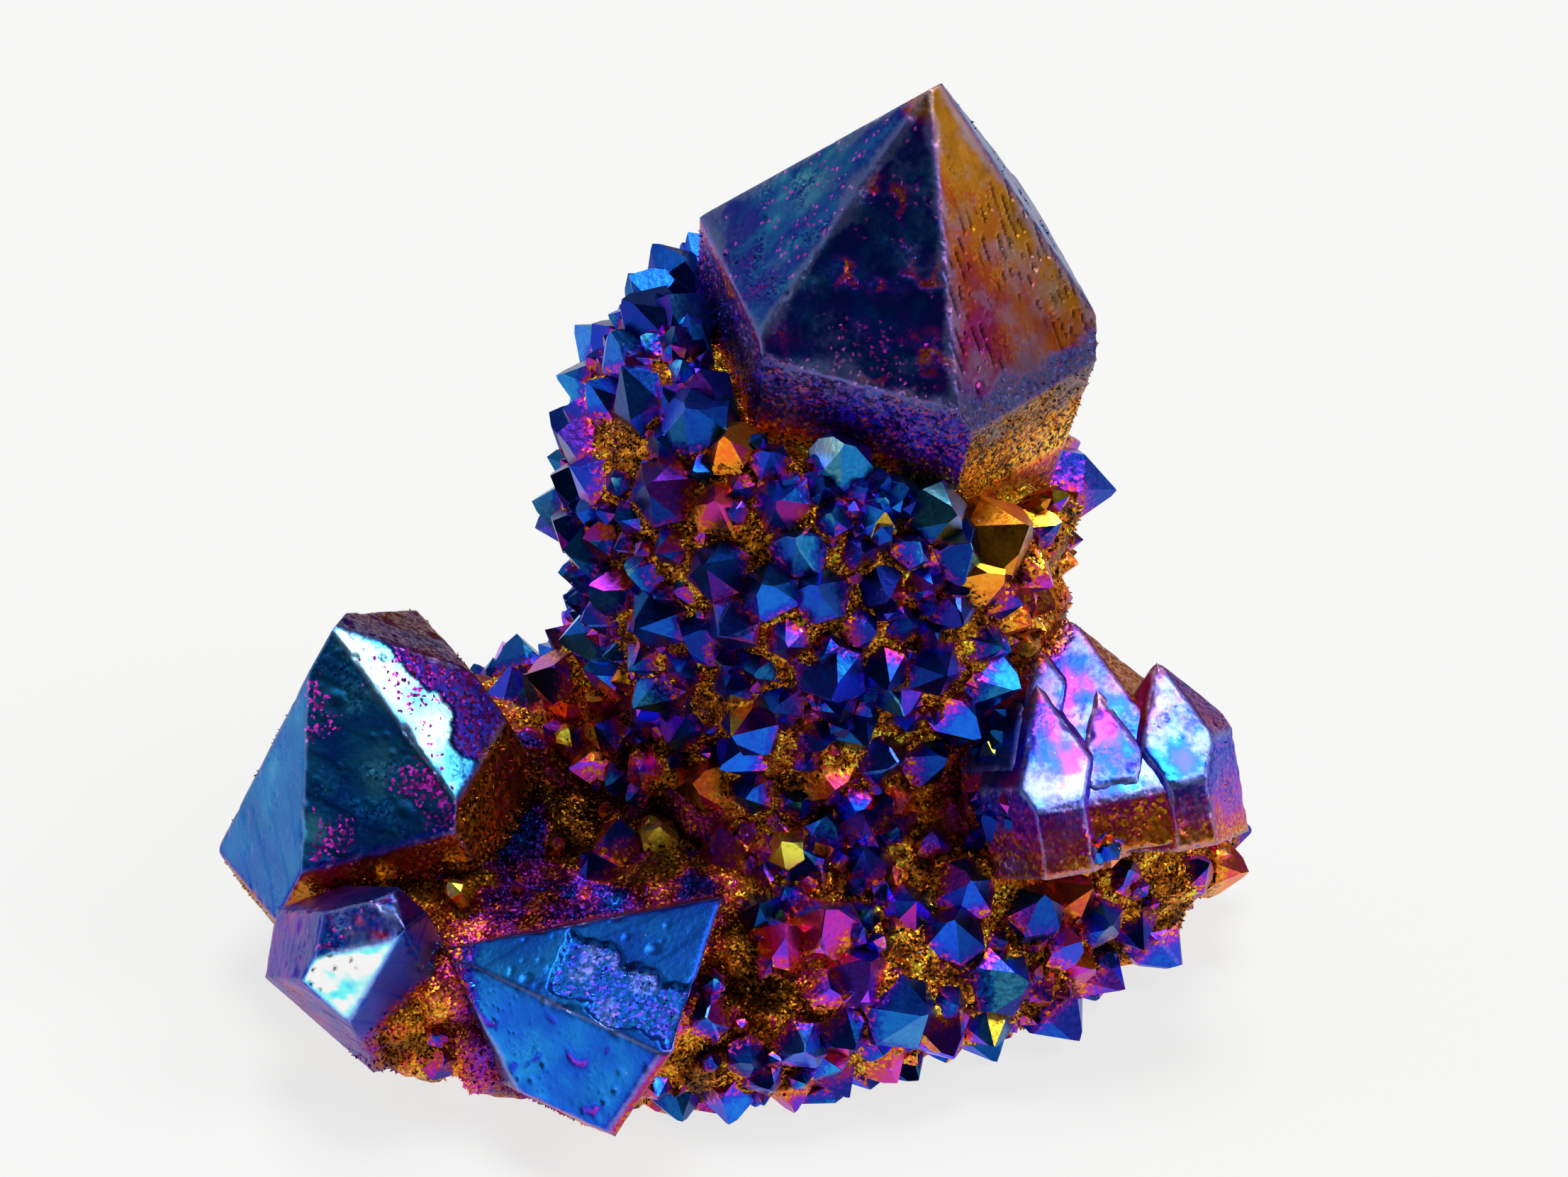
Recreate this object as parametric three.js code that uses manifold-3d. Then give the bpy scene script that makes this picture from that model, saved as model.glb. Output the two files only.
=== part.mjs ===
// A titanium aura quartz cluster: a stem crusted with small points under one large capping
// crystal, on a low base that carries four more large crystals. It all grew together, so it is
// one solid. Millimetres, +Z up, the origin in the middle of the flat cut that it rests on.
import * as THREE from "three";
import { ConvexGeometry } from "three/addons/geometries/ConvexGeometry.js";
import { mergeVertices } from "three/addons/utils/BufferGeometryUtils.js";
import Module from "manifold-3d";

const wasm = await Module();
wasm.setup();

// ---- Quartz habit ---------------------------------------------------------------------------
const SIDES = 6;
const SIDE_STEP = 360 / SIDES;
const PYRAMID_TILT = 51.787; // degrees from the long axis to the normal of a pyramid face
const PYRAMID_RISE = Math.tan(rad(PYRAMID_TILT)); // height of a pyramid over a prism of apothem 1
const UP = new THREE.Vector3(0, 0, 1);

// ---- Large crystals -------------------------------------------------------------------------
// tip: the point that the face distances start from. lean, toward: how far the axis tips over and
// to which azimuth. spin: the azimuth of the first face. pyramid: each pyramid face's distance out
// from the tip. prism: each side's distance from the axis. length: from the tip to the root.
const LARGE_CRYSTALS = {
  cap: {
    tip: [8.3, 3.3, 55.1],
    lean: 10.4,
    toward: -23.6,
    spin: -101.4,
    taper: 5,
    pyramid: [0, 0.4, 1.3, 1.2, 0, -0.3],
    prism: [11.5, 13.1, 12.6, 11, 10.6, 10.5],
    length: 26,
  },
  leftPoint: {
    tip: [-25.7, -6.3, 24.8],
    lean: 23,
    toward: -150.8,
    spin: -90.2,
    pyramid: [0, 0.1, 0.4, 1.2, -0.1, 0.9],
    prism: [8.2, 7.3, 5.7, 8, 10.5, 12],
    length: 16.5,
  },
  frontPoint: {
    tip: [-19.4, -17.4, 9.8],
    lean: 60.3,
    toward: 175,
    spin: -85.6,
    pyramid: [0, 0.2, 0.3, 0.6, 0.2, -0.3],
    prism: [9.3, 9.7, 7.5, 6.5, 5.5, 5.1],
    length: 12.4,
  },
  cornerPoint: {
    tip: [-21.1, -21.9, 14.8],
    lean: 57.1,
    toward: -61.1,
    spin: -58,
    pyramid: [0, 0.2, 0.4, 0.5, 0, 0.1],
    prism: [9, 7.2, 2.6, 2.2, 3.4, 4.7],
    length: 12.3,
  },
  rightPoint: {
    tip: [17.1, -0.6, 22.5],
    lean: 32.6,
    toward: 107.3,
    spin: -82.2,
    pyramid: [0.1, 0, -0.6, 0.5, 1, 1.2],
    prism: [8.6, 7.6, 4.4, 6, 6, 8],
    length: 14,
  },
};

// Slivers that grew side by side on the right crystal, along its own axis and a little proud of it.
const SLIVERS = {
  parent: "rightPoint",
  pieces: [
    { tip: [14.9, -4, 21.7], apothem: 1.2, length: 6 },
    { tip: [14.5, -7.8, 20.4], apothem: 1.7, length: 7 },
    { tip: [21, -6.6, 21.1], apothem: 2.2, length: 8 },
  ],
};

// ---- Stem -----------------------------------------------------------------------------------
// The stem and the base are crusted with small crystals, one at each place of a staggered net of
// columns around and rows up. profile: the surface under the crust, from the first row to the last.
const STEM = {
  seed: 11,
  middle: [3, 2.8, 30],
  lean: 6,
  toward: -23,
  climbToward: 150, // the top of the crust climbs on this side
  climb: 0.018,
  // radius, level along the axis
  profile: [
    [15.5, -20],
    [13.8, -16],
    [12.6, -12],
    [13.4, -8],
    [14.2, -4],
    [14.3, 0],
    [13.2, 3.5],
    [11.8, 6.2],
    [10.2, 8],
    [8, 9],
  ],
  columns: 28,
  rows: 14,
  // crystals that outgrew their neighbours
  outgrown: [
    { row: 11, column: 17, apothem: 1.9, prism: 0.35 },
    { row: 9, column: 17, apothem: 1.8, prism: 0.3 },
    { row: 9, column: 18, apothem: 1.6, prism: 0.3 },
    { row: 9, column: 24, apothem: 1.95, prism: 0.45 },
    { row: 8, column: 27, apothem: 1.9, prism: 0.5 },
    { row: 8, column: 20, apothem: 1.5, prism: 0.5 },
    { row: 6, column: 18, apothem: 1.8, prism: 0.4 },
  ],
};

// ---- Base -----------------------------------------------------------------------------------
const BASE = {
  seed: 7,
  middle: [-2, -2],
  rim: [29, 25, 22, 19.5, 18.5, 21.7, 27, 26, 21.5, 19, 18.2, 21.8], // radius every 30 degrees
  // share of the rim radius, height
  profile: [
    [0.74, -2.5],
    [0.86, 0.4],
    [0.97, 3],
    [1, 6],
    [0.94, 9],
    [0.8, 11.4],
    [0.62, 12.8],
    [0.46, 13.8],
    [0.3, 14.2],
  ],
  columns: 36,
  rows: 11,
  outgrown: [
    { row: 4, column: 30, apothem: 1.9, prism: 0.3 },
    { row: 4, column: 32, apothem: 1.8, prism: 0.4 },
    { row: 5, column: 31, apothem: 1.7, prism: 0.4 },
    { row: 10, column: 27, apothem: 1.6, prism: 0.5 },
  ],
  dipToward: 235, // the top lies lower behind the front crystals
  dip: 0.2,
  liftFrom: 12,
  liftTo: 27,
  lift: 1, // the right end of the rim hangs this much higher
};

// ---- Crust ----------------------------------------------------------------------------------
const CRUST = {
  stray: 0.42, // how far a crystal strays from its place in the net, as a share of the spacing
  liftedBy: 0.22, // the axes turn this much upwards
  lean: 0.45,
  smallest: 1, // apothem of a prism
  largest: 1.75,
  shortest: -0.15, // prism above the surface, as a share of the apothem
  tallest: 0.6,
  sidesFrom: 0.15, // from this share on, the crystal shows its six sides
  twist: 24,
  margin: 0.5, // a tip nearer than this to a large crystal is grown over by it
  sunk: 0.4, // and lies this far under the surface instead
};

// Shallow swells of the surface under the crust, so that neither the stem nor the base is a turned
// shape: their heights, and how fast they wave along each direction.
const SWELL = { broad: 0.45, alongX: 0.45, alongY: 0.5, startX: 1.3, startY: 0.7 };
const RIPPLE = { height: 0.3, alongZ: 0.7, alongX: 0.4 };

const GROUND = { width: 120, depth: 12 }; // what the flat cut takes away

// ---- Tolerances -----------------------------------------------------------------------------
const SAME_VERTEX = 1e-5;
const WELD = 1e-3;
const SAME_CORNER = 0.003;
const OUTSIDE = 1e-6;
const NEARLY_PARALLEL = 1e-6;
const PROBE = { turn: 2, share: 0.03 }; // steps that measure which way a surface faces

// ---- Small helpers --------------------------------------------------------------------------
function rad(degrees) {
  return THREE.MathUtils.degToRad(degrees);
}

function direction(fromUp, azimuth) {
  const flat = Math.sin(rad(fromUp));
  return new THREE.Vector3(
    flat * Math.cos(rad(azimuth)),
    flat * Math.sin(rad(azimuth)),
    Math.cos(rad(fromUp)),
  );
}

// Numbers from 0 to 1 that are the same on every run.
function randomSource(seed) {
  let state = seed >>> 0;
  return () => {
    state = (state + 0x6d2b79f5) >>> 0;
    let mixed = Math.imul(state ^ (state >>> 15), state | 1);
    mixed ^= mixed + Math.imul(mixed ^ (mixed >>> 7), mixed | 61);
    return ((mixed ^ (mixed >>> 14)) >>> 0) / 2 ** 32;
  };
}

function between(random, low, high) {
  return low + (high - low) * random();
}

// ---- Joining --------------------------------------------------------------------------------
function solidFrom(points, triangles) {
  return new wasm.Manifold(
    new wasm.Mesh({
      numProp: 3,
      vertProperties: new Float32Array(points),
      triVerts: new Uint32Array(triangles),
    }),
  );
}

function toSolid(geometry, weld = SAME_VERTEX) {
  const bare = geometry.clone();
  bare.deleteAttribute("normal");
  bare.deleteAttribute("uv");
  const merged = mergeVertices(bare, weld);
  return solidFrom(merged.attributes.position.array, merged.index.array);
}

// Joins neighbours in pairs, then the pairs, so that no join is larger than it has to be.
function joinAll(solids) {
  let rest = solids;
  while (rest.length > 1) {
    const joined = [];
    for (let i = 0; i < rest.length; i += 2) {
      joined.push(i + 1 < rest.length ? rest[i].add(rest[i + 1]) : rest[i]);
    }
    rest = joined;
  }
  return rest[0];
}

function toGeometry(body) {
  const mesh = body.getMesh();
  const geometry = new THREE.BufferGeometry();
  geometry.setAttribute("position", new THREE.BufferAttribute(mesh.vertProperties, 3));
  geometry.setIndex(new THREE.BufferAttribute(mesh.triVerts, 1));
  return geometry;
}

// Sorts triangles into shells: two that share an edge are in one shell. Gives each one's shell.
function shellsOf(corners) {
  const parent = Array.from({ length: corners.length / 3 }, (_, triangle) => triangle);
  const shellOf = (triangle) => {
    let shell = triangle;
    while (parent[shell] !== shell) shell = parent[shell];
    parent[triangle] = shell;
    return shell;
  };
  const edges = new Map();
  corners.forEach((from, i) => {
    const triangle = Math.floor(i / 3);
    const to = corners[3 * triangle + ((i + 1) % 3)];
    const edge = `${Math.min(from, to)} ${Math.max(from, to)}`;
    if (edges.has(edge)) parent[shellOf(triangle)] = shellOf(edges.get(edge));
    edges.set(edge, triangle);
  });
  return parent.map((_, triangle) => shellOf(triangle));
}

// The largest shell alone, which fills any hollow that the crystals closed off between them.
function outerSkin(geometry) {
  const corners = geometry.index.array;
  const shells = shellsOf(corners);
  const counts = new Map();
  shells.forEach((shell) => counts.set(shell, (counts.get(shell) ?? 0) + 1));
  const [outer] = [...counts].sort((first, second) => second[1] - first[1])[0];
  const kept = corners.filter((_, i) => shells[Math.floor(i / 3)] === outer);
  geometry.setIndex(new THREE.BufferAttribute(kept, 1));
  return geometry;
}

// ---- Large crystals' shape ------------------------------------------------------------------
// The flat faces of one crystal, each as its outward normal and its distance from the tip, in the
// crystal's own frame: the tip at the origin and the long axis along +Z.
function crystalFaces({ pyramid, prism, length, taper = 0 }) {
  const faces = [{ normal: UP.clone().negate(), distance: length }];
  for (let side = 0; side < SIDES; side += 1) {
    const azimuth = side * SIDE_STEP;
    faces.push({ normal: direction(PYRAMID_TILT, azimuth), distance: pyramid[side] });
    faces.push({ normal: direction(90 + taper, azimuth), distance: prism[side] });
  }
  return faces;
}

function meetingPoint(a, b, c) {
  const across = new THREE.Vector3().crossVectors(b.normal, c.normal);
  const volume = a.normal.dot(across);
  if (Math.abs(volume) < NEARLY_PARALLEL) return null;
  return across
    .multiplyScalar(a.distance)
    .addScaledVector(new THREE.Vector3().crossVectors(c.normal, a.normal), b.distance)
    .addScaledVector(new THREE.Vector3().crossVectors(a.normal, b.normal), c.distance)
    .divideScalar(volume);
}

// A corner is a point where three faces meet and that no other face cuts off.
function cornersOf(faces) {
  const corners = [];
  for (let i = 0; i < faces.length; i += 1) {
    for (let j = i + 1; j < faces.length; j += 1) {
      for (let k = j + 1; k < faces.length; k += 1) {
        const point = meetingPoint(faces[i], faces[j], faces[k]);
        if (!point) continue;
        if (faces.some((face) => face.normal.dot(point) > face.distance + OUTSIDE)) continue;
        if (corners.some((other) => other.distanceTo(point) < SAME_CORNER)) continue;
        corners.push(point);
      }
    }
  }
  return corners;
}

function crystalTurn({ axis, spin }) {
  const lean = new THREE.Quaternion().setFromUnitVectors(UP, axis);
  return lean.multiply(new THREE.Quaternion().setFromAxisAngle(UP, rad(spin)));
}

function crystalSolid(crystal) {
  const geometry = new ConvexGeometry(cornersOf(crystalFaces(crystal)));
  geometry.applyQuaternion(crystalTurn(crystal));
  geometry.translate(crystal.tip.x, crystal.tip.y, crystal.tip.z);
  return toSolid(geometry);
}

function largeCrystal(entry) {
  return {
    ...entry,
    tip: new THREE.Vector3(...entry.tip),
    axis: direction(entry.lean, entry.toward),
  };
}

function sliver({ tip, apothem, length }) {
  return {
    tip: new THREE.Vector3(...tip),
    axis: direction(LARGE_CRYSTALS[SLIVERS.parent].lean, LARGE_CRYSTALS[SLIVERS.parent].toward),
    spin: LARGE_CRYSTALS[SLIVERS.parent].spin,
    pyramid: Array(SIDES).fill(0),
    prism: Array(SIDES).fill(apothem),
    length,
  };
}

// How far outside a crystal a point lies, negative inside it.
function clearance(crystal, point) {
  const local = point.clone().sub(crystal.tip);
  local.applyQuaternion(crystalTurn(crystal).invert());
  return Math.max(...crystalFaces(crystal).map((face) => face.normal.dot(local) - face.distance));
}

// ---- Surfaces under the crust ---------------------------------------------------------------
// The two numbers of a profile at a share of its length, counted in rows.
function alongProfile(profile, share) {
  const row = THREE.MathUtils.clamp(share, 0, 1) * (profile.length - 1);
  const low = Math.min(Math.floor(row), profile.length - 2);
  return profile[low].map((value, column) =>
    THREE.MathUtils.lerp(value, profile[low + 1][column], row - low),
  );
}

function swell({ x, y, z }) {
  const overX = Math.sin(SWELL.alongX * x + SWELL.startX);
  const overY = Math.sin(SWELL.alongY * y + SWELL.startY);
  const ripple = Math.sin(RIPPLE.alongZ * z + RIPPLE.alongX * x);
  return SWELL.broad * overX * overY + RIPPLE.height * ripple;
}

const STEM_TURN = new THREE.Quaternion().setFromUnitVectors(
  UP,
  direction(STEM.lean, STEM.toward),
);

function stemPoint(azimuth, share) {
  const [radius, level] = alongProfile(STEM.profile, share);
  const outward = direction(90, azimuth);
  const side = Math.cos(rad(azimuth - STEM.climbToward));
  const point = outward.clone().multiplyScalar(radius);
  point.z = level + STEM.climb * Math.max(level, 0) * radius * side;
  point.applyQuaternion(STEM_TURN).add(new THREE.Vector3(...STEM.middle));
  return point.addScaledVector(outward, swell(point));
}

function rimRadius(azimuth) {
  const turn = THREE.MathUtils.euclideanModulo(azimuth, 360) / (360 / BASE.rim.length);
  const low = Math.floor(turn) % BASE.rim.length;
  const share = (1 - Math.cos(Math.PI * (turn - low))) / 2;
  return THREE.MathUtils.lerp(BASE.rim[low], BASE.rim[(low + 1) % BASE.rim.length], share);
}

function basePoint(azimuth, share) {
  const [across, height] = alongProfile(BASE.profile, share);
  const outward = direction(90, azimuth);
  const dip = BASE.dip * Math.max(0, Math.cos(rad(azimuth - BASE.dipToward))) ** 2;
  const point = outward.clone().multiplyScalar(rimRadius(azimuth) * across);
  point.add(new THREE.Vector3(...BASE.middle, height * (1 - dip)));
  point.z += BASE.lift * THREE.MathUtils.smoothstep(point.x, BASE.liftFrom, BASE.liftTo);
  return point.addScaledVector(outward, swell(point) * across);
}

// ---- Crust of small crystals ----------------------------------------------------------------
function outwardAt(at, azimuth, share) {
  const around = at(azimuth + PROBE.turn, share).sub(at(azimuth - PROBE.turn, share));
  const along = at(azimuth, share + PROBE.share).sub(at(azimuth, share - PROBE.share));
  return around.cross(along).normalize();
}

// One small crystal: the surface point under it, its axis, apothem, prism height and tip.
function crustSite(at, net, column, row, random) {
  const stray = () => CRUST.stray * (random() - 0.5);
  const azimuth = (360 / net.columns) * (column + (row % 2) / 2 + stray());
  const share = (row + stray()) / (net.rows - 1);
  const point = at(azimuth, share);
  const axis = outwardAt(at, azimuth, share).addScaledVector(UP, CRUST.liftedBy);
  axis.x += CRUST.lean * (random() - 0.5);
  axis.y += CRUST.lean * (random() - 0.5);
  axis.z += CRUST.lean * (random() - 0.5);
  axis.normalize();
  const size = {
    apothem: between(random, CRUST.smallest, CRUST.largest),
    prism: between(random, CRUST.shortest, CRUST.tallest),
  };
  const spin = CRUST.twist * (random() - 0.5);
  const outgrown = net.outgrown.find((entry) => entry.row === row && entry.column === column);
  const { apothem, prism } = outgrown ?? size;
  const tip = point.clone().addScaledVector(axis, apothem * (prism + PYRAMID_RISE));
  return { point, axis, apothem, prism, spin, tip };
}

function crustSites(at, net) {
  const random = randomSource(net.seed);
  const rows = [];
  for (let row = 0; row < net.rows; row += 1) {
    const sites = [];
    for (let column = 0; column < net.columns; column += 1) {
      sites.push(crustSite(at, net, column, row, random));
    }
    rows.push(sites);
  }
  return rows;
}

// The low points between the crystals: the middle of every triangle that three neighbouring sites
// make in the strip above a row, in order of azimuth, two for each column.
function valleyStrip(sites, row, columns) {
  const site = (up, column) => sites[row + up][column % columns].point;
  const odd = row % 2;
  const valleys = [];
  for (let column = 0; column < columns; column += 1) {
    const onRow = [site(0, column), site(0, column + 1), site(1, column + odd)];
    const onNext = [site(1, column), site(1, column + 1), site(0, column + 1 - odd)];
    for (const [first, second, third] of odd ? [onNext, onRow] : [onRow, onNext]) {
      valleys.push(first.clone().add(second).add(third).divideScalar(3));
    }
  }
  return valleys;
}

// A triangle mesh that is grown point by point.
class Skin {
  points = [];
  triangles = [];

  add(point) {
    return this.points.push(point.x, point.y, point.z) / 3 - 1;
  }

  pointAt(index) {
    return new THREE.Vector3().fromArray(this.points, 3 * index);
  }

  fan(tip, ring) {
    ring.forEach((corner, i) => {
      this.triangles.push(tip, corner, ring[(i + 1) % ring.length]);
    });
  }

  // Walls from a lower ring up to an upper one, corner for corner.
  walls(lower, upper) {
    lower.forEach((corner, i) => {
      const next = (i + 1) % lower.length;
      this.triangles.push(corner, lower[next], upper[next]);
      this.triangles.push(corner, upper[next], upper[i]);
    });
  }

  close(ring) {
    const middle = new THREE.Vector3();
    ring.forEach((corner) => middle.add(this.pointAt(corner)));
    this.fan(this.add(middle.divideScalar(ring.length)), ring);
  }
}

// One small crystal on the six valleys around it: a pyramid from its tip down to them or, where it
// stands taller, a pyramid on a hexagonal prism. One that a large crystal grew over is a low bump.
function addSmallCrystal(skin, site, ring, large) {
  if (large.some((crystal) => clearance(crystal, site.tip) < CRUST.margin)) {
    skin.fan(skin.add(site.point.clone().addScaledVector(site.axis, -CRUST.sunk)), ring);
    return;
  }
  const tip = skin.add(site.tip);
  if (site.prism < CRUST.sidesFrom) {
    skin.fan(tip, ring);
    return;
  }
  const shoulders = shouldersOf(site, skin.pointAt(ring[0])).map((corner) => skin.add(corner));
  skin.fan(tip, shoulders);
  skin.walls(ring, shoulders);
}

// A closed skin of small crystals over one surface.
function crustSolid(at, net, large) {
  const sites = crustSites(at, net);
  const around = 2 * net.columns;
  const skin = new Skin();
  const strips = [];
  for (let row = 0; row + 1 < net.rows; row += 1) {
    strips.push(valleyStrip(sites, row, net.columns).map((valley) => skin.add(valley)));
  }
  for (let row = 1; row + 1 < net.rows; row += 1) {
    for (let column = 0; column < net.columns; column += 1) {
      const middle = 2 * column + (row % 2) - 1 + around;
      const above = [1, 0, -1].map((step) => strips[row][(middle + step) % around]);
      const below = [-1, 0, 1].map((step) => strips[row - 1][(middle + step) % around]);
      addSmallCrystal(skin, sites[row][column], [...above, ...below], large);
    }
  }
  skin.close(strips[0].toReversed());
  skin.close(strips.at(-1));
  return solidFrom(skin.points, skin.triangles);
}

// The six corners between a small crystal's sides and its pyramid, the first towards a valley.
function shouldersOf(site, valley) {
  const first = valley.sub(site.tip);
  first.addScaledVector(site.axis, -first.dot(site.axis)).normalize();
  const middle = site.point.clone().addScaledVector(site.axis, site.apothem * site.prism);
  const corner = site.apothem / Math.cos(Math.PI / SIDES);
  return Array.from({ length: SIDES }, (_, side) => {
    const turn = rad(site.spin + side * SIDE_STEP);
    const outward = first.clone().applyAxisAngle(site.axis, turn);
    return middle.clone().addScaledVector(outward, corner);
  });
}

// ---- The cluster ----------------------------------------------------------------------------
function groundCut() {
  const block = new THREE.BoxGeometry(GROUND.width, GROUND.width, GROUND.depth);
  block.translate(0, 0, -GROUND.depth / 2);
  return toSolid(block);
}

function quartzCluster() {
  const large = [
    ...Object.values(LARGE_CRYSTALS).map(largeCrystal),
    ...SLIVERS.pieces.map(sliver),
  ];
  const grown = joinAll([
    crustSolid(stemPoint, STEM, large),
    crustSolid(basePoint, BASE, large),
    ...large.map(crystalSolid),
  ]);
  // Welding closes the narrowest necks between the crystals, so it comes before the skin is taken.
  const body = toSolid(toGeometry(grown.subtract(groundCut())), WELD);
  const coating = new THREE.MeshStandardMaterial({
    color: 0x2b3f9c,
    roughness: 0.25,
    metalness: 0.9,
  });
  const mesh = new THREE.Mesh(outerSkin(toGeometry(body)), coating);
  mesh.name = "quartz_cluster";
  return mesh;
}

const group = new THREE.Group();
group.add(quartzCluster());

export default group;
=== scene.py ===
"""Looks of a titanium aura quartz cluster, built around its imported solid.

A stem and a low base are crusted with small quartz points, and five large crystals grow out
of them. Titanium was vapour-coated over all of it, thin and gold-brown down in the grains,
thicker and through magenta and violet to blue on the faces. Lengths are millimetres until a
mesh is made.
"""

import itertools
import logging
import math
from dataclasses import dataclass, field, replace
from enum import Enum, IntEnum
from functools import cached_property, lru_cache
from typing import Any, Callable, Sequence

import bpy
import numpy as np
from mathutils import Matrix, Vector, kdtree


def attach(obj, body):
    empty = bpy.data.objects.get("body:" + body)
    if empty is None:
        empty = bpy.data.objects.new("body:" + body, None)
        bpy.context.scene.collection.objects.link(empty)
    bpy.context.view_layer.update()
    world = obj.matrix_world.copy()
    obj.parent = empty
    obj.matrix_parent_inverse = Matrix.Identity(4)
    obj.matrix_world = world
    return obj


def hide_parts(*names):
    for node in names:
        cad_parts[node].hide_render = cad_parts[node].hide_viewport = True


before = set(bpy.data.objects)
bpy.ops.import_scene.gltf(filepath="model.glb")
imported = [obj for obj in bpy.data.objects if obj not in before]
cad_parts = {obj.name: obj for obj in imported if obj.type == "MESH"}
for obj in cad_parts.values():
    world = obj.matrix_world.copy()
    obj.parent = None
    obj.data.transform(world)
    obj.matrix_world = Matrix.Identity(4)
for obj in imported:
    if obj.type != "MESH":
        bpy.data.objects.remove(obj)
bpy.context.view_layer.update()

Array = np.ndarray
Chances = np.random.Generator
Piece = bpy.types.Object
Finish = bpy.types.Material
Rise = Callable[[Array], Array]
LOG = logging.getLogger("quartz_cluster")

MM = 0.001
NODE = "quartz_cluster"
BODY = "root"
SIDES = 6
SIDE_STEP = 360 / SIDES
PYRAMID_TILT = 51.787  # degrees from the long axis to the normal of a pyramid face
PYRAMID_RISE = math.tan(math.radians(PYRAMID_TILT))
UP = np.array([0.0, 0.0, 1.0])
GROUND = 0.0
CUT_UNDER = 0.05  # a skin's points lower than this belong to the flat cut under it
GRAINS_FROM = 0.6  # no grain stands lower than this over the ground cut
GRAINS_UP_TO = 1.1  # how far grains climb a large crystal
SAME_CORNER = 0.003
ON_FACE = 0.004
NEARLY_PARALLEL = 1e-4
OUTSIDE = 1e-6
MASK = 0xFFFFFFFF


# ---- Small helpers --------------------------------------------------------------------------
def direction(from_up: float, azimuth: float | Array) -> Array:
    """Unit vectors at an angle from straight up, towards an azimuth.

    Args:
        from_up: Degrees from +Z.
        azimuth: Degrees from +X towards +Y, one number or an array.

    Returns:
        One vector, or an array of them in the last axis.
    """
    turn = np.radians(np.asarray(azimuth, float))
    flat = math.sin(math.radians(from_up))
    level = np.full_like(turn, math.cos(math.radians(from_up)))
    return np.stack([flat * np.cos(turn), flat * np.sin(turn), level], axis=-1)


def unit(vectors: Array) -> Array:
    """The same vectors with length 1."""
    return vectors / np.linalg.norm(vectors, axis=-1, keepdims=True)


def smoothstep(low: float, high: float, values: Array | float) -> Array:
    """0 below low, 1 above high and a smooth climb between them."""
    share = np.clip((np.asarray(values, float) - low) / (high - low), 0, 1)
    return share * share * (3 - 2 * share)


def about(axis: Array, degrees: float) -> Array:
    """The matrix that turns by an angle about an axis.

    Args:
        axis: Unit vector of the axis.
        degrees: Angle, right-handed.

    Returns:
        A 3 by 3 matrix.
    """
    angle = math.radians(degrees)
    x, y, z = axis
    skew = np.array([[0, -z, y], [z, 0, -x], [-y, x, 0]])
    return np.eye(3) + math.sin(angle) * skew + (1 - math.cos(angle)) * skew @ skew


def upright_to(axis: Array) -> Array:
    """The shortest turn, as a matrix, that takes +Z to an axis.

    Args:
        axis: Unit vector of the axis.

    Returns:
        A 3 by 3 matrix.
    """
    tilt = math.degrees(math.acos(float(np.clip(axis[2], -1, 1))))
    across = np.cross(UP, axis)
    size = float(np.linalg.norm(across))
    return np.eye(3) if size < NEARLY_PARALLEL else about(across / size, tilt)


class Draws:
    """Random numbers that are the same on every run and the same as the solid's own."""

    def __init__(self, seed: int) -> None:
        """Starts the run of numbers at a seed."""
        self.state = seed & MASK

    def next(self) -> float:
        """The next number from 0 to 1.

        Returns:
            The number.
        """
        self.state = (self.state + 0x6D2B79F5) & MASK
        mixed = ((self.state ^ (self.state >> 15)) * (self.state | 1)) & MASK
        mixed ^= (mixed + (mixed ^ (mixed >> 7)) * (mixed | 61)) & MASK
        return ((mixed ^ (mixed >> 14)) & MASK) / 2**32

    def between(self, low: float, high: float) -> float:
        """The next number, scaled to lie between two values."""
        return low + (high - low) * self.next()


def lattice(cells: Array, seed: int) -> Array:
    """A random number from 0 to 1 for each integer cell.

    Args:
        cells: Integer coordinates, three in the last axis.
        seed: Picks one of many such fields.

    Returns:
        The numbers, one for each cell.
    """
    wrapped = cells.astype(np.int64).astype(np.uint64)
    primes = (0x9E3779B185EBCA87, 0xC2B2AE3D27D4EB4F, 0x165667B19E3779F9)
    start = (seed * 0x27D4EB2F165667C5 + 0x1234567) & (2**64 - 1)
    mixed = np.full(cells.shape[:-1], start, np.uint64)
    for place, prime in enumerate(primes):
        mixed ^= wrapped[..., place] * np.uint64(prime)
        mixed ^= mixed >> np.uint64(29)
        mixed *= np.uint64(0xBF58476D1CE4E5B9)
        mixed ^= mixed >> np.uint64(32)
    return (mixed >> np.uint64(11)).astype(float) / 2**53


def noise(points: Array, size: float, seed: int, octaves: int = 1) -> Array:
    """Smooth noise from -1 to 1.

    Args:
        points: Places in millimetres, three numbers in the last axis.
        size: Width of one lump in millimetres.
        seed: Picks one of many such fields.
        octaves: How many times finer noise is added at half the height.

    Returns:
        One value for each place.
    """
    total = np.zeros(points.shape[:-1])
    height = 1.0
    for octave in range(octaves):
        scaled = points / (size / 2**octave)
        cell = np.floor(scaled)
        inside = scaled - cell
        ease = inside * inside * (3 - 2 * inside)
        value = np.zeros(points.shape[:-1])
        for corner in itertools.product((0, 1), repeat=3):
            weight = np.prod(np.where(corner, ease, 1 - ease), axis=-1)
            value += weight * lattice(cell + np.array(corner), seed + octave)
        total += height * (2 * value - 1)
        height /= 2
    return total


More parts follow.
